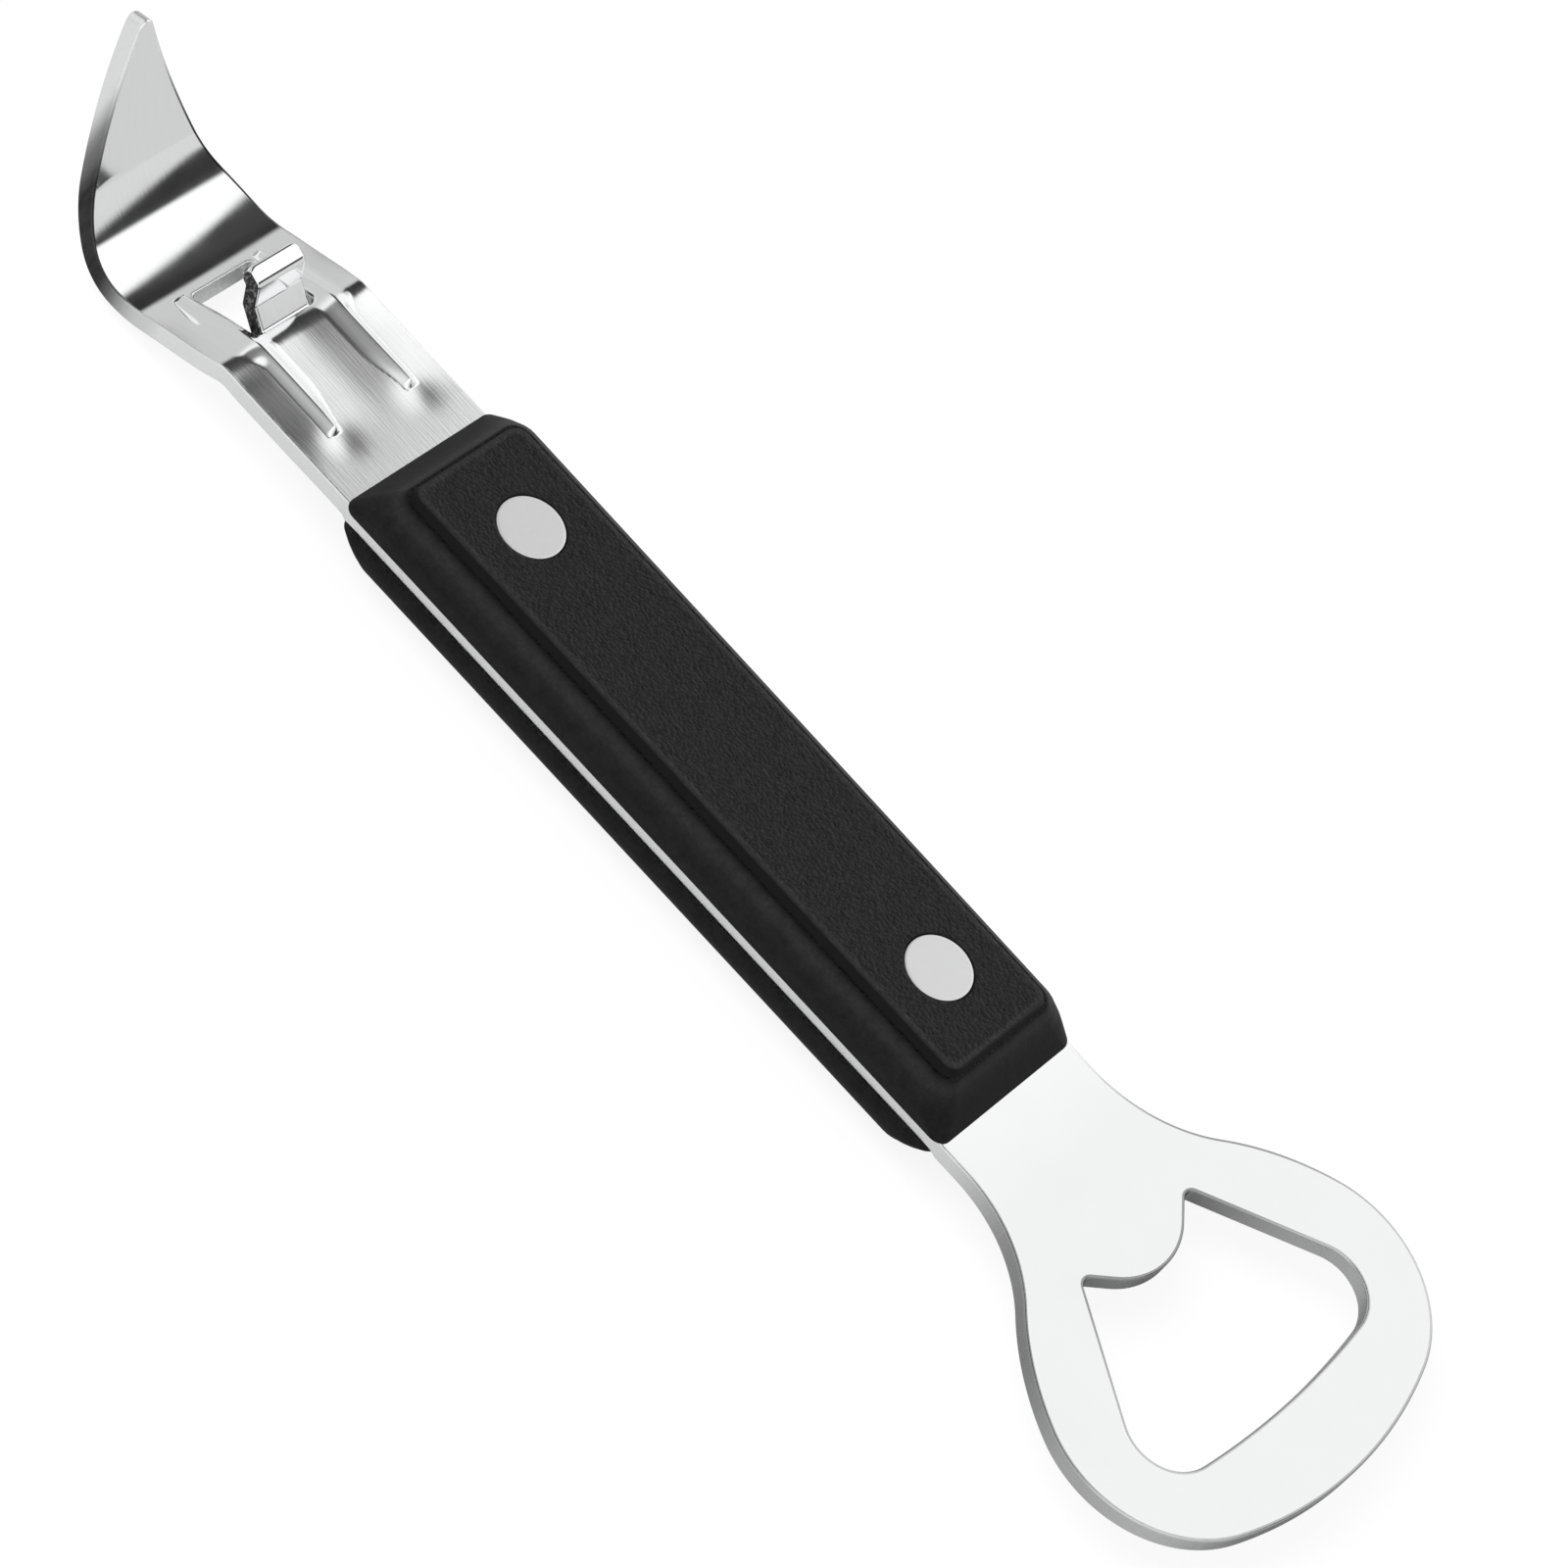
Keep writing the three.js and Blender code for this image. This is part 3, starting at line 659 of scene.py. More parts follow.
def lofted(rings, faces_of_ends=True):
    """Quads between closed rings of equally many points, and one face over each end."""
    count = len(rings[0])
    faces = []
    for row in range(len(rings) - 1):
        for i in range(count):
            a, b = row * count + i, row * count + (i + 1) % count
            faces.append((a, b, b + count, a + count))
    if faces_of_ends:
        faces.append(tuple(range(count))[::-1])
        faces.append(tuple(range((len(rings) - 1) * count, len(rings) * count)))
    return np.concatenate(rings), faces


# -------- the tab


def rounded_polygon(corners, radii):
    """The loop of a polygon, with every corner rounded by as many points."""
    points = []
    neighbours = zip(np.roll(corners, 1, 0), corners, np.roll(corners, -1, 0))
    for (before, corner, after), radius in zip(neighbours, radii):
        back = (before - corner) / np.linalg.norm(before - corner)
        ahead = (after - corner) / np.linalg.norm(after - corner)
        half = math.acos(np.clip(np.dot(back, ahead), -1, 1)) / 2
        middle = (back + ahead) / np.linalg.norm(back + ahead)
        centre = corner + middle * radius / math.sin(half)
        start = corner + back * radius / math.tan(half) - centre
        end = corner + ahead * radius / math.tan(half) - centre
        for share in np.linspace(0, 1, CORNER_STEPS + 1):
            spoke = start * (1 - share) + end * share
            points.append(centre + spoke * radius / np.linalg.norm(spoke))
    return np.array(points)


def sheet_point(distance):
    """The x and z of the middle of the sheet's front face, at a distance past the fold."""
    return place(np.array([FOLD_X - distance]), np.zeros(1), np.zeros(1))[0, [0, 2]]


def tab_profile(inset, cut):
    """The tab from its side. It is thinner by the inset all round, and its end is cut back."""
    lengths = [length for length, _ in TAB_STRETCHES]
    lengths[-1] -= cut + inset
    rises = [rise for _, rise in TAB_STRETCHES]
    front = [sheet_point(WINDOW_START)]
    for length, rise in zip(lengths, rises):
        front.append(front[-1] + length * np.array((-math.cos(rise), math.sin(rise))))
    leans = [-FOLD_ANGLE, *rises, rises[-1]]
    sides = []
    for depth in (inset, TAB_THICKNESS - inset):
        side = []
        for point, before, after in zip(front, leans, leans[1:]):
            middle = (before + after) / 2
            through = np.array((math.sin(middle), math.cos(middle)))
            side.append(point - through * depth / math.cos((after - before) / 2))
        sides.append(side)
    root = sheet_point(WINDOW_START - TAB_ROOT)
    buried = np.array((0, TAB_ROOT_DEPTH + inset))
    hidden = np.array((0, STEEL - TAB_ROOT_DEPTH - inset))
    corners = [root - buried, *sides[0], *sides[1][::-1], root - hidden]
    return rounded_polygon(np.array(corners), TAB_FRONT_RADII + TAB_BACK_RADII)


def fall_back(radius, depth):
    """How far a round edge falls back at a depth in from the side."""
    return radius - math.sqrt(radius**2 - max(0, radius - depth) ** 2)


def tab_part():
    """The tab: a strip that leaves the sheet at the window, turns up and hooks towards the tip."""
    depths = np.array(TAB_SIDE_STEPS)
    across = TAB_HALF_WIDTH - np.concatenate([depths, 2 * TAB_HALF_WIDTH - depths[::-1]])
    rings = []
    for y in across:
        depth = TAB_HALF_WIDTH - abs(y)
        inset = TAB_EDGE_SHARE * fall_back(TAB_EDGE, depth)
        cut = TAB_CORNER_SHARE * fall_back(TAB_CORNER, depth)
        profile = tab_profile(inset, cut)
        rings.append(np.stack([profile[:, 0], np.full(len(profile), y), profile[:, 1]], 1))
    return lofted(rings)


def tab_slots(verts, faces):
    """The material of each face of the tab: steel, or sheared on its two long sides."""
    inmost = [abs(verts[list(face), 1]).min() for face in faces]
    return [SHEARED_SLOT if y > TAB_HALF_WIDTH - TAB_SHEARED else STEEL_SLOT for y in inmost]


# -------- meshes


def area_normals(verts, faces):
    """Vertex normals that lean to the larger faces around each vertex."""
    normals = np.zeros((len(verts), 3))
    for face in faces:
        corners = verts[list(face)]
        area = np.cross(corners, np.roll(corners, -1, 0)).sum(0)
        normals[list(face)] += area
    return normals / np.maximum(np.linalg.norm(normals, axis=1), TINY)[:, None]


def make_object(name, verts, faces, materials, slots=None):
    """An object from millimetre vertices, with outward faces and smooth shading."""
    mesh = bpy.data.meshes.new(name)
    mesh.from_pydata((np.asarray(verts) * MM).tolist(), [], [tuple(map(int, f)) for f in faces])
    for material in materials:
        mesh.materials.append(material)
    if slots is not None:
        mesh.polygons.foreach_set("material_index", slots)
    bm = bmesh.new()
    bm.from_mesh(mesh)
    bmesh.ops.recalc_face_normals(bm, faces=bm.faces)
    bm.to_mesh(mesh)
    bm.free()
    mesh.shade_smooth()
    piece = bpy.data.objects.new(name, mesh)
    bpy.context.scene.collection.objects.link(piece)
    return piece


def weigh_normals(piece):
    """Keeps flat faces flat in shading, with the turn of the normals in the small round faces."""
    piece.data.set_sharp_from_angle(angle=SHARP_ANGLE)
    modifier = piece.modifiers.new("even_shading", "WEIGHTED_NORMAL")
    modifier.keep_sharp = True


# -------- the handle scales


def bezier(start, corner, end, count):
    """Points of a curve that leaves its start and meets its end in the direction of the corner."""
    share = np.linspace(0, 1, count)[:, None]
    return (1 - share) ** 2 * start + 2 * share * (1 - share) * corner + share**2 * end


def skirt_rings(chamfer, side_rate, end_rate):
    """The foot of a scale and the bend at the top of its skirt, as rows of scale_rings."""
    low_height = SKIRT_HEIGHT - BEND_BELOW
    high_height = SKIRT_HEIGHT + BEND_ABOVE
    foot = np.array([(0, chamfer, chamfer, 0), (chamfer, 0, chamfer, 0)])
    low = np.array((low_height, 0, end_rate * low_height, 0))
    bend = np.array((SKIRT_HEIGHT, 0, end_rate * SKIRT_HEIGHT, 0))
    # The top of the bend holds half the painted light of the mid-slope.
    high = np.array((high_height, side_rate * BEND_ABOVE, end_rate * high_height, SLOPE_PAINTED_LIGHT / 2))
    return [foot, bezier(low, bend, high, LONG_CURVE)]


def scale_rings(chamfer):
    """From foot to face: heights above the steel, how far in the sides and the ends are, and painted light.
    """
    side_rate = SIDE_SLOPE / (SCALE_HEIGHT - SKIRT_HEIGHT)
    end_rate = END_SLOPE / SCALE_HEIGHT
    foot, shoulder = skirt_rings(chamfer, side_rate, end_rate)
    rate = np.array((1, side_rate, end_rate, 0))
    top = np.array((SCALE_HEIGHT, SIDE_SLOPE, END_SLOPE, LIP_PAINTED_HIGHLIGHT))
    lip = top - rate * GROOVE_WIDTH - (0, 0, 0, LIP_PAINTED_HIGHLIGHT)
    before_lip = lip - rate * GROOVE_LIP
    # A curve comes half-way to its corner, so the groove's corner lies twice as deep and takes twice the
    # painted shade.
    dip = top - rate * GROOVE_WIDTH / 2 - (2 * GROOVE_DEPTH, 0, 0, LIP_PAINTED_HIGHLIGHT - 2 * GROOVE_PAINTED_SHADE)
    down = lip + (dip - lip) * GROOVE_ENTRY
    rise = top - (GROOVE_LIP, GROOVE_EXIT, GROOVE_EXIT, 0)
    middle = (shoulder[-1] + lip) / 2
    middle[-1] = 2 * SLOPE_PAINTED_LIGHT
    slope = bezier(shoulder[-1], middle, before_lip, LONG_CURVE)[1:-1]
    entry = bezier(before_lip, lip, down, ENTRY_CURVE)
    groove = bezier(down, dip, rise, LONG_CURVE)[1:-1]
    rim = bezier(rise, top, top + (0, FACE_ROUNDING, FACE_ROUNDING, 0), LIP_CURVE)
    held = [top + (0, FACE_ROUNDING + FACE_HOLD, FACE_ROUNDING + FACE_HOLD, -LIP_PAINTED_HIGHLIGHT)]
    return np.concatenate([foot, shoulder, slope, entry, groove, rim, held])


def handle_taper(x):
    """How wide the handle is at x, over its width at the punch's end."""
    share = (x / HANDLE_HALF_LENGTH + 1) / 2
    return 1 + share * (HANDLE_NARROW_HALF / HANDLE_WIDE_HALF - 1)


def circle_loop(x, radius, z):
    """A counter-clockwise circle about a rivet's axis."""
    angles = np.arange(ROUND_STEPS) * 2 * math.pi / ROUND_STEPS
    return np.stack([x + radius * np.cos(angles), radius * np.sin(angles), np.full(ROUND_STEPS, z)], 1)


def pocket_part(x, face_z, up):
    """The pocket for a rivet's head, from a circle on the scale's face to its flat bottom."""
    radius = RIVET_HEAD_RADIUS + RIVET_HEAD_GAP
    profile = (
        (radius + POCKET_HOLD, 0),
        (radius + POCKET_ROUNDING, 0),
        (radius, POCKET_ROUNDING),
        (radius, RIVET_HEAD_HEIGHT),
    )
    verts, faces = lofted([circle_loop(x, r, face_z - up * depth) for r, depth in profile], False)
    faces.append(tuple(range(len(verts) - ROUND_STEPS, len(verts))))
    return verts, faces


def scale_part(seat, up, chamfer, corner_radii):
    """A scale with its foot at the height seat, standing up or down from it, and the painted light and
    shade at each point.
    """
    rings, painted_light = [], []
    for height, side, end, painted_light_level in scale_rings(chamfer):
        low = np.array((end - HANDLE_HALF_LENGTH, side - HANDLE_WIDE_HALF))
        radius = np.interp(height, (0, SKIRT_HEIGHT, SCALE_HEIGHT), corner_radii)
        flat = corner_loop(low, -low, radius)
        flat[:, 1] *= handle_taper(flat[:, 0])
        rings.append(np.column_stack([flat, np.full(len(flat), seat + up * height)]))
        painted_light += [painted_light_level] * len(flat)
    count = len(rings[0])
    verts, faces = lofted(rings, False)
    faces.append(tuple(range(count)))
    loops = [rings[-1][:, :2]]
    index = list(range(len(verts) - count, len(verts)))
    for x in RIVET_XS:
        wall, wall_faces = pocket_part(x, seat + up * SCALE_HEIGHT, up)
        start = len(verts)
        faces += [tuple(i + start for i in face) for face in wall_faces]
        loops.append(wall[:ROUND_STEPS, :2])
        index += range(start, start + ROUND_STEPS)
        verts = np.concatenate([verts, wall])
    triangles = triangulate(loops, np.zeros((0, 2)))
    faces += [tuple(index[i] for i in triangle) for triangle in triangles]
    return verts, faces, painted_light + [0.0] * (len(verts) - len(painted_light))


# -------- the rivets


def lathe(x, profile):
    """A closed solid of revolution about a rivet's axis, from radii and heights off the axis."""
    return lofted([circle_loop(x, radius, z) for radius, z in profile])


def head_profile(inner, face, shank):
    """A head with a rounded rim, from its flat face to the shank under it."""
    out = math.copysign(1, face - inner)
    rim = [(RIVET_HEAD_RADIUS - RIVET_RIM * (1 - math.sin(a)), face - out * RIVET_RIM * (1 - math.cos(a)))
           for a in np.linspace(0, math.pi / 2, RIVET_RIM_STEPS + 1)]
    under = face - out * RIVET_HEAD_HEIGHT
    return [(RIVET_HEAD_RADIUS - RIVET_HOLD, face), *rim, (RIVET_HEAD_RADIUS, under), (shank, under)]


def pin_part(x, z_range):
    low, high = z_range
    return lathe(x, [*head_profile(low, high, RIVET_PIN_RADIUS), (RIVET_PIN_RADIUS, low)])


def tube_part(x, z_range):
    low, high = z_range
    bore_end = high - RIVET_BORE_DEPTH
    tube = [(RIVET_TUBE_RADIUS, high), (RIVET_BORE_RADIUS, high), (RIVET_BORE_RADIUS, bore_end)]
    return lathe(x, [*head_profile(high, low, RIVET_TUBE_RADIUS), *tube])


# -------- materials


class Nodes:
    """Short ways to make and join the nodes of one material or world."""

    def __init__(self, tree):
        self.tree = tree
        self.tree.nodes.clear()

    def add(self, kind, inputs=None, **settings):
        node = self.tree.nodes.new(kind)
        for key, value in settings.items():
            setattr(node, key, value)
        for key, value in (inputs or {}).items():
            self.put(value, node.inputs[key])
        return node

    def put(self, value, socket):
        if isinstance(value, bpy.types.NodeSocket):
            self.tree.links.new(value, socket)
        else:
            socket.default_value = value

    def position(self):
        return self.add("ShaderNodeTexCoord").outputs["Object"]

    def axis(self, vector, name):
        return self.add("ShaderNodeSeparateXYZ", {0: vector}).outputs[name]

    def maths(self, operation, *values):
        return self.add("ShaderNodeMath", dict(enumerate(values)), operation=operation).outputs[0]

    def plus(self, first, second):
        return self.maths("ADD", first, second)

    def times(self, first, second):
        return self.maths("MULTIPLY", first, second)

    def highest(self, first, *others):
        for other in others:
            first = self.maths("MAXIMUM", first, other)
        return first

    def scaled(self, vector, scale):
        node = self.add("ShaderNodeVectorMath", {0: vector, 1: scale}, operation="MULTIPLY")
        return node.outputs[0]

    def noise(self, vector, scale=1.0, detail=2.0, roughness=0.55):
        inputs = {"Vector": vector, "Scale": scale, "Detail": detail, "Roughness": roughness}
        return self.add("ShaderNodeTexNoise", inputs).outputs["Fac"]

    def mapped(self, value, source, target=(0, 1), ease=False):
        """The value, moved from one range to another and held inside it."""
        kind = "SMOOTHSTEP" if ease else "LINEAR"
        inputs = {0: value, 1: source[0], 2: source[1], 3: target[0], 4: target[1]}
        return self.add("ShaderNodeMapRange", inputs, interpolation_type=kind).outputs[0]

    def tint(self, share, colours):
        """A colour between two, by a share that is held between 0 and 1."""
        inputs = {0: share, 6: (*colours[0], 1), 7: (*colours[1], 1)}
        return self.add("ShaderNodeMix", inputs, data_type="RGBA").outputs[2]

    def ramp(self, value, span, levels):
        """A grey that eases from level to level as the value passes their places in the span."""
        node = self.add("ShaderNodeValToRGB", {0: self.mapped(value, span)})
        node.color_ramp.interpolation = "EASE"
        stops = node.color_ramp.elements
        stops.remove(stops[-1])
        for i, (at, level) in enumerate(levels):
            position = (at - span[0]) / (span[1] - span[0])
            stop = stops[0] if i == 0 else stops.new(position)
            stop.position = position
            stop.color = (level, level, level, 1)
        return node.outputs["Color"]

    def bump(self, height, strength, distance):
        inputs = {"Height": height, "Strength": strength, "Distance": distance}
        return self.add("ShaderNodeBump", inputs).outputs["Normal"]


def new_material(name):
    material = bpy.data.materials.new(name)
    material.use_nodes = True
    return material, Nodes(material.node_tree)


def finish_material(nodes, inputs):
    shader = nodes.add("ShaderNodeBsdfPrincipled", inputs)
    output = nodes.add("ShaderNodeOutputMaterial")
    nodes.put(shader.outputs[0], output.inputs["Surface"])


def steel_material():
    """Polished stainless sheet with fine lengthwise brush lines, stronger and duller on the tang."""
    material, nodes = new_material("polished_steel")
    position = nodes.position()
    x = nodes.axis(position, "X")
    brushed = nodes.times(
        nodes.mapped(x, BRUSH_STARTS, ease=True),
        nodes.mapped(x, BRUSH_ENDS, (1, 0), ease=True),
    )
    fine = nodes.noise(nodes.scaled(position, FINE_LINES))
    coarse = nodes.noise(nodes.scaled(position, COARSE_LINES), detail=3.0)
    lines = nodes.plus(fine, nodes.times(coarse, COARSE_SHARE))
    clouds = nodes.mapped(nodes.noise(position, *STEEL_CLOUDS), NOISE_RANGE, STEEL_ROUGHNESS)
    depth = nodes.plus(nodes.times(brushed, BRUSH_DEPTH), nodes.mapped(x, POLISH_RUN, POLISH_DEPTH))
    streaks = nodes.times(lines, nodes.mapped(x, POLISH_RUN, POLISH_STREAKS))
    shine = nodes.plus(streaks, nodes.mapped(x, RING_RUN, RING_SHADES))
    finish_material(nodes, {
        "Base Color": nodes.tint(shine, STEEL_COLOURS),
        "Metallic": 1.0,
        "Roughness": nodes.plus(nodes.times(brushed, BRUSH_ROUGHNESS), clouds),
        "Normal": nodes.bump(lines, depth, BRUSH_DISTANCE),
    })
    return material


def cut_edge_material():
    """The sheet's cut edge: satin, with a faint grain through the thickness, and painted shade that darkens
    it in places.
    """
    material, nodes = new_material("cut_steel_edge")
    position = nodes.position()
    grain = nodes.noise(nodes.scaled(position, EDGE_GRAIN))
    # Painted shade: darker along X at the punch's belly and round the ring, where the edge would reflect
    # shade.
    painted_edge_shade = nodes.ramp(nodes.axis(position, "X"), PAINTED_EDGE_SHADE_SPAN, PAINTED_EDGE_SHADE_LEVELS)
    shade = nodes.plus(painted_edge_shade, nodes.times(grain, EDGE_GRAIN_SHARE))
    finish_material(nodes, {
        "Base Color": nodes.tint(shade, EDGE_COLOURS),
        "Metallic": 1.0,
        "Roughness": nodes.mapped(grain, NOISE_RANGE, EDGE_ROUGHNESS),
        "Specular Tint": EDGE_RIM_TINT,
        "Normal": nodes.bump(grain, *EDGE_BUMP),
    })
    return material


def sheared_material():
    """Steel torn by the punch that cut the tab: darker, uneven and lightly burred."""
    material, nodes = new_material("sheared_steel")
    tear = nodes.noise(nodes.scaled(nodes.position(), TEAR_SCALE), *TEAR_NOISE)
    finish_material(nodes, {
        "Base Color": nodes.tint(nodes.mapped(tear, TEAR_RANGE), TEAR_COLOURS),
        "Metallic": 1.0,
        "Roughness": nodes.mapped(tear, NOISE_RANGE, TEAR_ROUGHNESS),
        "Normal": nodes.bump(tear, *TEAR_BUMP),
    })
    return material


def pebble_height(nodes, position):
    """The leathery grain: warped round cells, higher away from their middles."""
    cells = nodes.add("ShaderNodeTexVoronoi", {
        "Vector": nodes.scaled(position, PEBBLE_STRETCH), "Scale": PEBBLE_SCALE, "Randomness": 1.0,
    }, feature="SMOOTH_F1")
    warp = nodes.times(nodes.noise(position, *PEBBLE_WARP), PEBBLE_WARP_SHARE)
    return nodes.plus(cells.outputs["Distance"], warp)


def plastic_material():
    """Black moulded plastic: leathery on the outer face, smoother on the slopes, with a painted highlight
    on the face's rim, painted shade in the groove and painted light on the slope.
    """
    material, nodes = new_material("black_plastic")
    position = nodes.position()
    normal = nodes.add("ShaderNodeNewGeometry").outputs["Normal"]
    up = nodes.maths("ABSOLUTE", nodes.axis(normal, "Z"))
    face = nodes.mapped(up, FLAT_FACE, (SLOPE_GRAIN, 1), ease=True)
    pebbles = pebble_height(nodes, position)
    pits = nodes.times(nodes.mapped(pebbles, PIT_RANGE), face)
    painted_light_patches = nodes.mapped(nodes.noise(position, *PAINTED_LIGHT_NOISE), NOISE_RANGE, PAINTED_LIGHT_UNEVEN)
    # Painted light from each point's attribute: a highlight at the rim, shade in the groove and light
    # mid-slope, uneven in patches.
    painted_light = nodes.times(nodes.add("ShaderNodeAttribute", attribute_name="painted_light").outputs["Fac"], painted_light_patches)
    mottle = nodes.noise(position, *MOTTLE_NOISE)
    grain_tone_and_painted_light = nodes.plus(nodes.times(pits, PIT_PALER), nodes.times(painted_light, PAINTED_LIGHT_STRENGTH))
    grain_tone_and_painted_light = nodes.plus(grain_tone_and_painted_light, nodes.mapped(mottle, MOTTLE_RANGE, MOTTLE_SHADES))
    rough = nodes.plus(
        nodes.mapped(mottle, NOISE_RANGE, (0, MOTTLE_ROUGHNESS)),
        nodes.mapped(face, (SLOPE_GRAIN, 1), PLASTIC_ROUGHNESS),
    )
    finish_material(nodes, {
        "Base Color": nodes.tint(nodes.plus(grain_tone_and_painted_light, PLASTIC_SHADE), PLASTIC_COLOURS),
        "Roughness": rough,
        "Specular IOR Level": PLASTIC_SPECULAR,
        "Normal": nodes.bump(pebbles, nodes.times(face, PEBBLE_DEPTH), PEBBLE_DISTANCE),
    })
    return material


def rivet_material():
    """Plain pale aluminium with a fine matt speckle."""
    material, nodes = new_material("pale_aluminium")
    speck = nodes.noise(nodes.position(), *SPECK_NOISE)
    finish_material(nodes, {
        "Base Color": nodes.tint(speck, RIVET_COLOURS),
        "Metallic": RIVET_METALLIC,
        "Roughness": nodes.mapped(speck, NOISE_RANGE, RIVET_ROUGHNESS),
        "Normal": nodes.bump(speck, *RIVET_BUMP),
    })
    return material


# -------- the object


def build_blade():
    verts, faces, normals, slots = sheet_part()
    tab_verts, tab_faces = tab_part()
    faces = faces + [tuple(i + len(verts) for i in face) for face in tab_faces]
    normals = np.concatenate([normals, area_normals(tab_verts, tab_faces)])
    slots = slots + tab_slots(tab_verts, tab_faces)
    verts = np.concatenate([verts, tab_verts])
    materials = [steel_material(), cut_edge_material(), sheared_material()]
    blade = make_object("stamped_blade", verts, faces, materials, slots)
    blade.data.normals_split_custom_set_from_vertices(normals.tolist())
    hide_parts("blade")
    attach(blade, "root")


def build_scales():
    plastic = plastic_material()
    for name, node, seat, up, chamfer, corner_radii in (
        ("grained_front_scale", "front_scale", STEEL_FRONT, 1, FRONT_CHAMFER, FRONT_CORNERS),
        ("grained_back_scale", "back_scale", STEEL_FRONT - STEEL, -1, BACK_CHAMFER, BACK_CORNERS),
    ):
        verts, faces, painted_light = scale_part(seat, up, chamfer, corner_radii)
        scale = make_object(name, verts, faces, [plastic])
        # Each point's painted light and shade, which the material reads.
        scale.data.attributes.new("painted_light", "FLOAT", "POINT").data.foreach_set("value", painted_light)
        weigh_normals(scale)
        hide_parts(node)
        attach(scale, "root")


def build_rivets():
    rivet = rivet_material()
    for end, x in zip(RIVET_ENDS, RIVET_XS):
        for kind, part in (("pin", pin_part), ("tube", tube_part)):
            node = f"rivet_{kind}_{end}"
            low, high = box_mm(node)
            verts, faces = part(x, (low[2], high[2]))
            piece = make_object(f"turned_{node}", verts, faces, [rivet])
            weigh_normals(piece)
            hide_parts(node)
            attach(piece, "root")


# -------- the studio


def build_floor():
    """A pale floor that looks almost shadowless, and is a plain matt one to every reflection."""
    material, nodes = new_material("pale_floor")
    colour = nodes.tint(nodes.noise(nodes.position(), *FLOOR_NOISE), FLOOR_COLOURS)
    diffuse = nodes.add("ShaderNodeBsdfDiffuse", {"Color": colour})
    glow = nodes.add("ShaderNodeEmission", {"Color": (1, 1, 1, 1), "Strength": FLOOR_GLOW_LEVEL})
    seen = nodes.add("ShaderNodeLightPath").outputs["Is Camera Ray"]
    share = nodes.times(seen, FLOOR_GLOW)
    mix = nodes.add("ShaderNodeMixShader", {0: share, 1: diffuse.outputs[0], 2: glow.outputs[0]})
    output = nodes.add("ShaderNodeOutputMaterial")
    nodes.put(mix.outputs[0], output.inputs["Surface"])
    half = FLOOR_HALF
    corners = [(x, y, -FLOOR_GAP) for x, y in ((-half, -half), (half, -half), (half, half), (-half, half))]
    floor = make_object("floor", corners, [(0, 1, 2, 3)], [material])


def around_patch(nodes, lean, slanted, behind, near):
    """Dark in the patch on the +Y side, and bright past its slanted edge and on its other sides."""
    edge = nodes.mapped(slanted, PATCH_EDGE, (PATCH_LEVEL, 1), ease=True)
    height = nodes.maths("SUBTRACT", nodes.highest(behind, SIDE_LOW), PATCH_MIDDLE)
    side = nodes.plus(lean, nodes.times(height, SIDE_SLANT))
    side = nodes.mapped(side, PATCH_SIDE, (1, 0), ease=True)
    over = nodes.ramp(behind, BEHIND_SPAN, OVERHEAD)
    lamp = nodes.times(near, nodes.mapped(lean, NEAR_LAMP, ease=True))
    return nodes.highest(edge, lamp, side, over)


def around_gap(nodes, lean, slanted, near):
    """Dark in the gap between two lamps, and bright before it, after it and in front of the tool."""
    before = nodes.mapped(lean, GAP_START, (1, 0), ease=True)
    after = nodes.mapped(slanted, GAP_END, (PATCH_LEVEL, 1), ease=True)
    beyond = nodes.mapped(lean, GAP_LIMIT, ease=True)
    return nodes.highest(before, after, beyond, near)


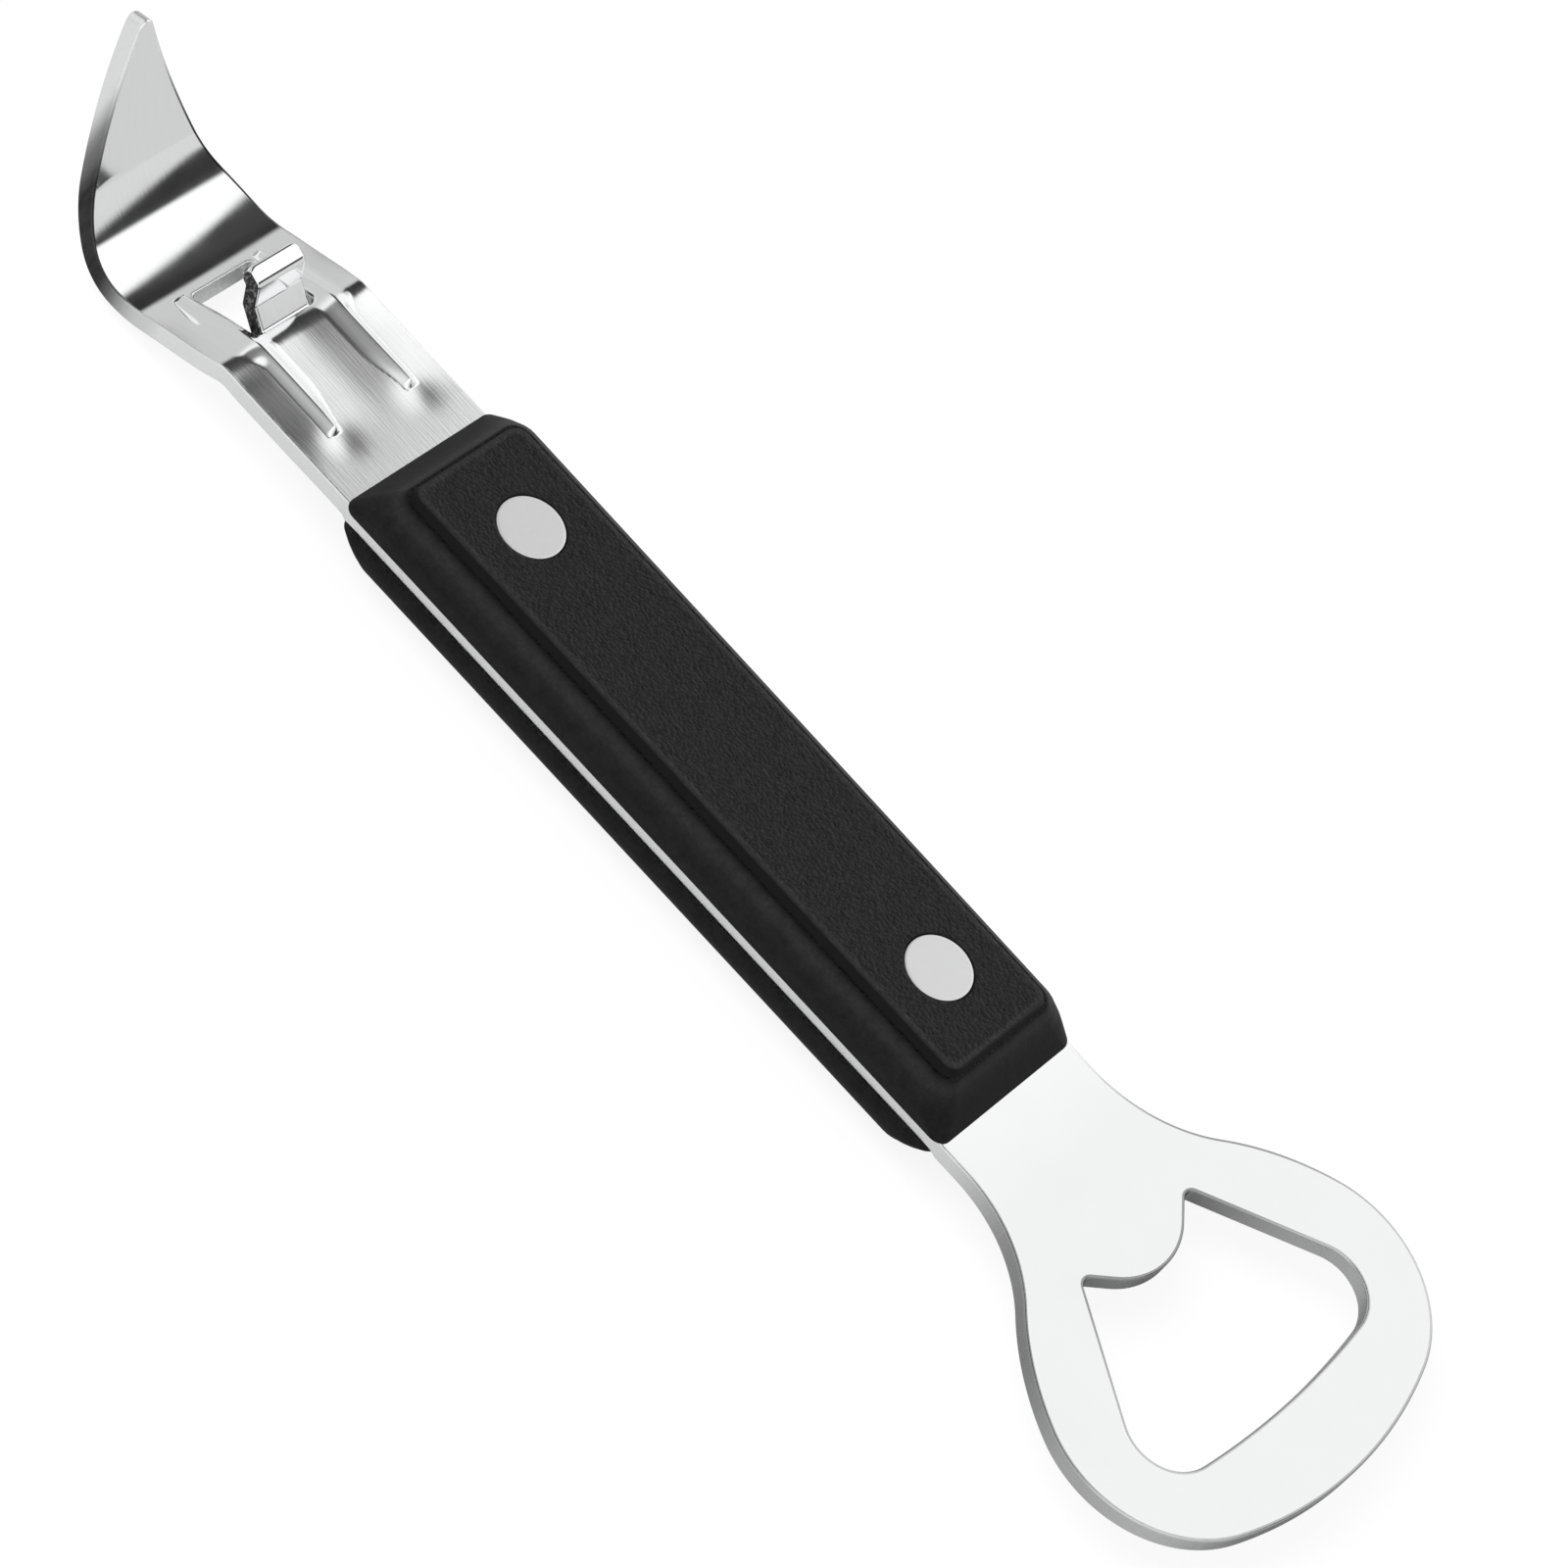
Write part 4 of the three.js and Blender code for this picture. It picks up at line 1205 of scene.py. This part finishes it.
def studio_level(nodes):
    """How bright the studio is in a direction, by its lean and by how far behind the tool it is."""
    direction = nodes.add("ShaderNodeTexCoord").outputs["Generated"]
    behind = nodes.axis(direction, "Y")
    lean = nodes.maths("ARCTAN2", nodes.axis(direction, "X"), nodes.axis(direction, "Z"))
    lean = nodes.times(lean, math.degrees(1))
    slanted = nodes.plus(lean, nodes.times(nodes.maths("SUBTRACT", behind, PATCH_MIDDLE), PATCH_SLANT))
    near = nodes.mapped(behind, NEAR_SIDE, (1, 0), ease=True)
    strips = nodes.ramp(lean, LEAN_SPAN, STUDIO_STRIPS)
    patch = around_patch(nodes, lean, slanted, behind, near)
    gap = around_gap(nodes, lean, slanted, near)
    wall = nodes.mapped(behind, BACK_WALL, (0, BACK_WALL_LEVEL), ease=True)
    return nodes.highest(nodes.times(nodes.times(strips, patch), gap), wall)


def build_world():
    """A white studio of long lamps and dark gaps to reflections, and even light to everything else."""
    world = bpy.data.worlds.new("studio")
    world.use_nodes = True
    bpy.context.scene.world = world
    nodes = Nodes(world.node_tree)
    is_glossy = nodes.add("ShaderNodeLightPath").outputs["Is Glossy Ray"]
    plain = nodes.add("ShaderNodeBackground", {"Color": (1, 1, 1, 1), "Strength": WORLD_LIGHT})
    lamps = nodes.add("ShaderNodeBackground", {"Color": studio_level(nodes), "Strength": 1.0})
    mix = nodes.add("ShaderNodeMixShader", {0: is_glossy, 1: plain.outputs[0], 2: lamps.outputs[0]})
    output = nodes.add("ShaderNodeOutputWorld")
    nodes.put(mix.outputs[0], output.inputs["Surface"])


def build_light():
    data = bpy.data.lights.new("softbox", "SUN")
    data.energy = SOFTBOX_POWER
    data.angle = SOFTBOX_SPREAD
    softbox = bpy.data.objects.new("softbox", data)
    softbox.visible_glossy = False
    bpy.context.scene.collection.objects.link(softbox)
    softbox.rotation_mode = "QUATERNION"
    softbox.rotation_quaternion = (-Vector(SOFTBOX_FROM)).to_track_quat("-Z", "Y")


def build_camera():
    data = bpy.data.cameras.new("camera")
    data.sensor_width = CAMERA_SENSOR
    data.lens = CAMERA_LENS
    data.clip_start, data.clip_end = CAMERA_CLIP
    data.dof.use_dof = False
    camera = bpy.data.objects.new("camera", data)
    bpy.context.scene.collection.objects.link(camera)
    forward = Vector(CAMERA_FORWARD).normalized()
    right = (Vector(CAMERA_RIGHT) - forward * forward.dot(Vector(CAMERA_RIGHT))).normalized()
    turn = Matrix((right, (-forward).cross(right), -forward)).transposed()
    camera.matrix_world = Matrix.Translation(Vector(CAMERA_AT) * MM) @ turn.to_4x4()
    bpy.context.scene.camera = camera


build_blade()
build_scales()
build_rivets()
build_floor()
build_world()
build_light()
build_camera()
bpy.context.scene.view_settings.view_transform = "Standard"
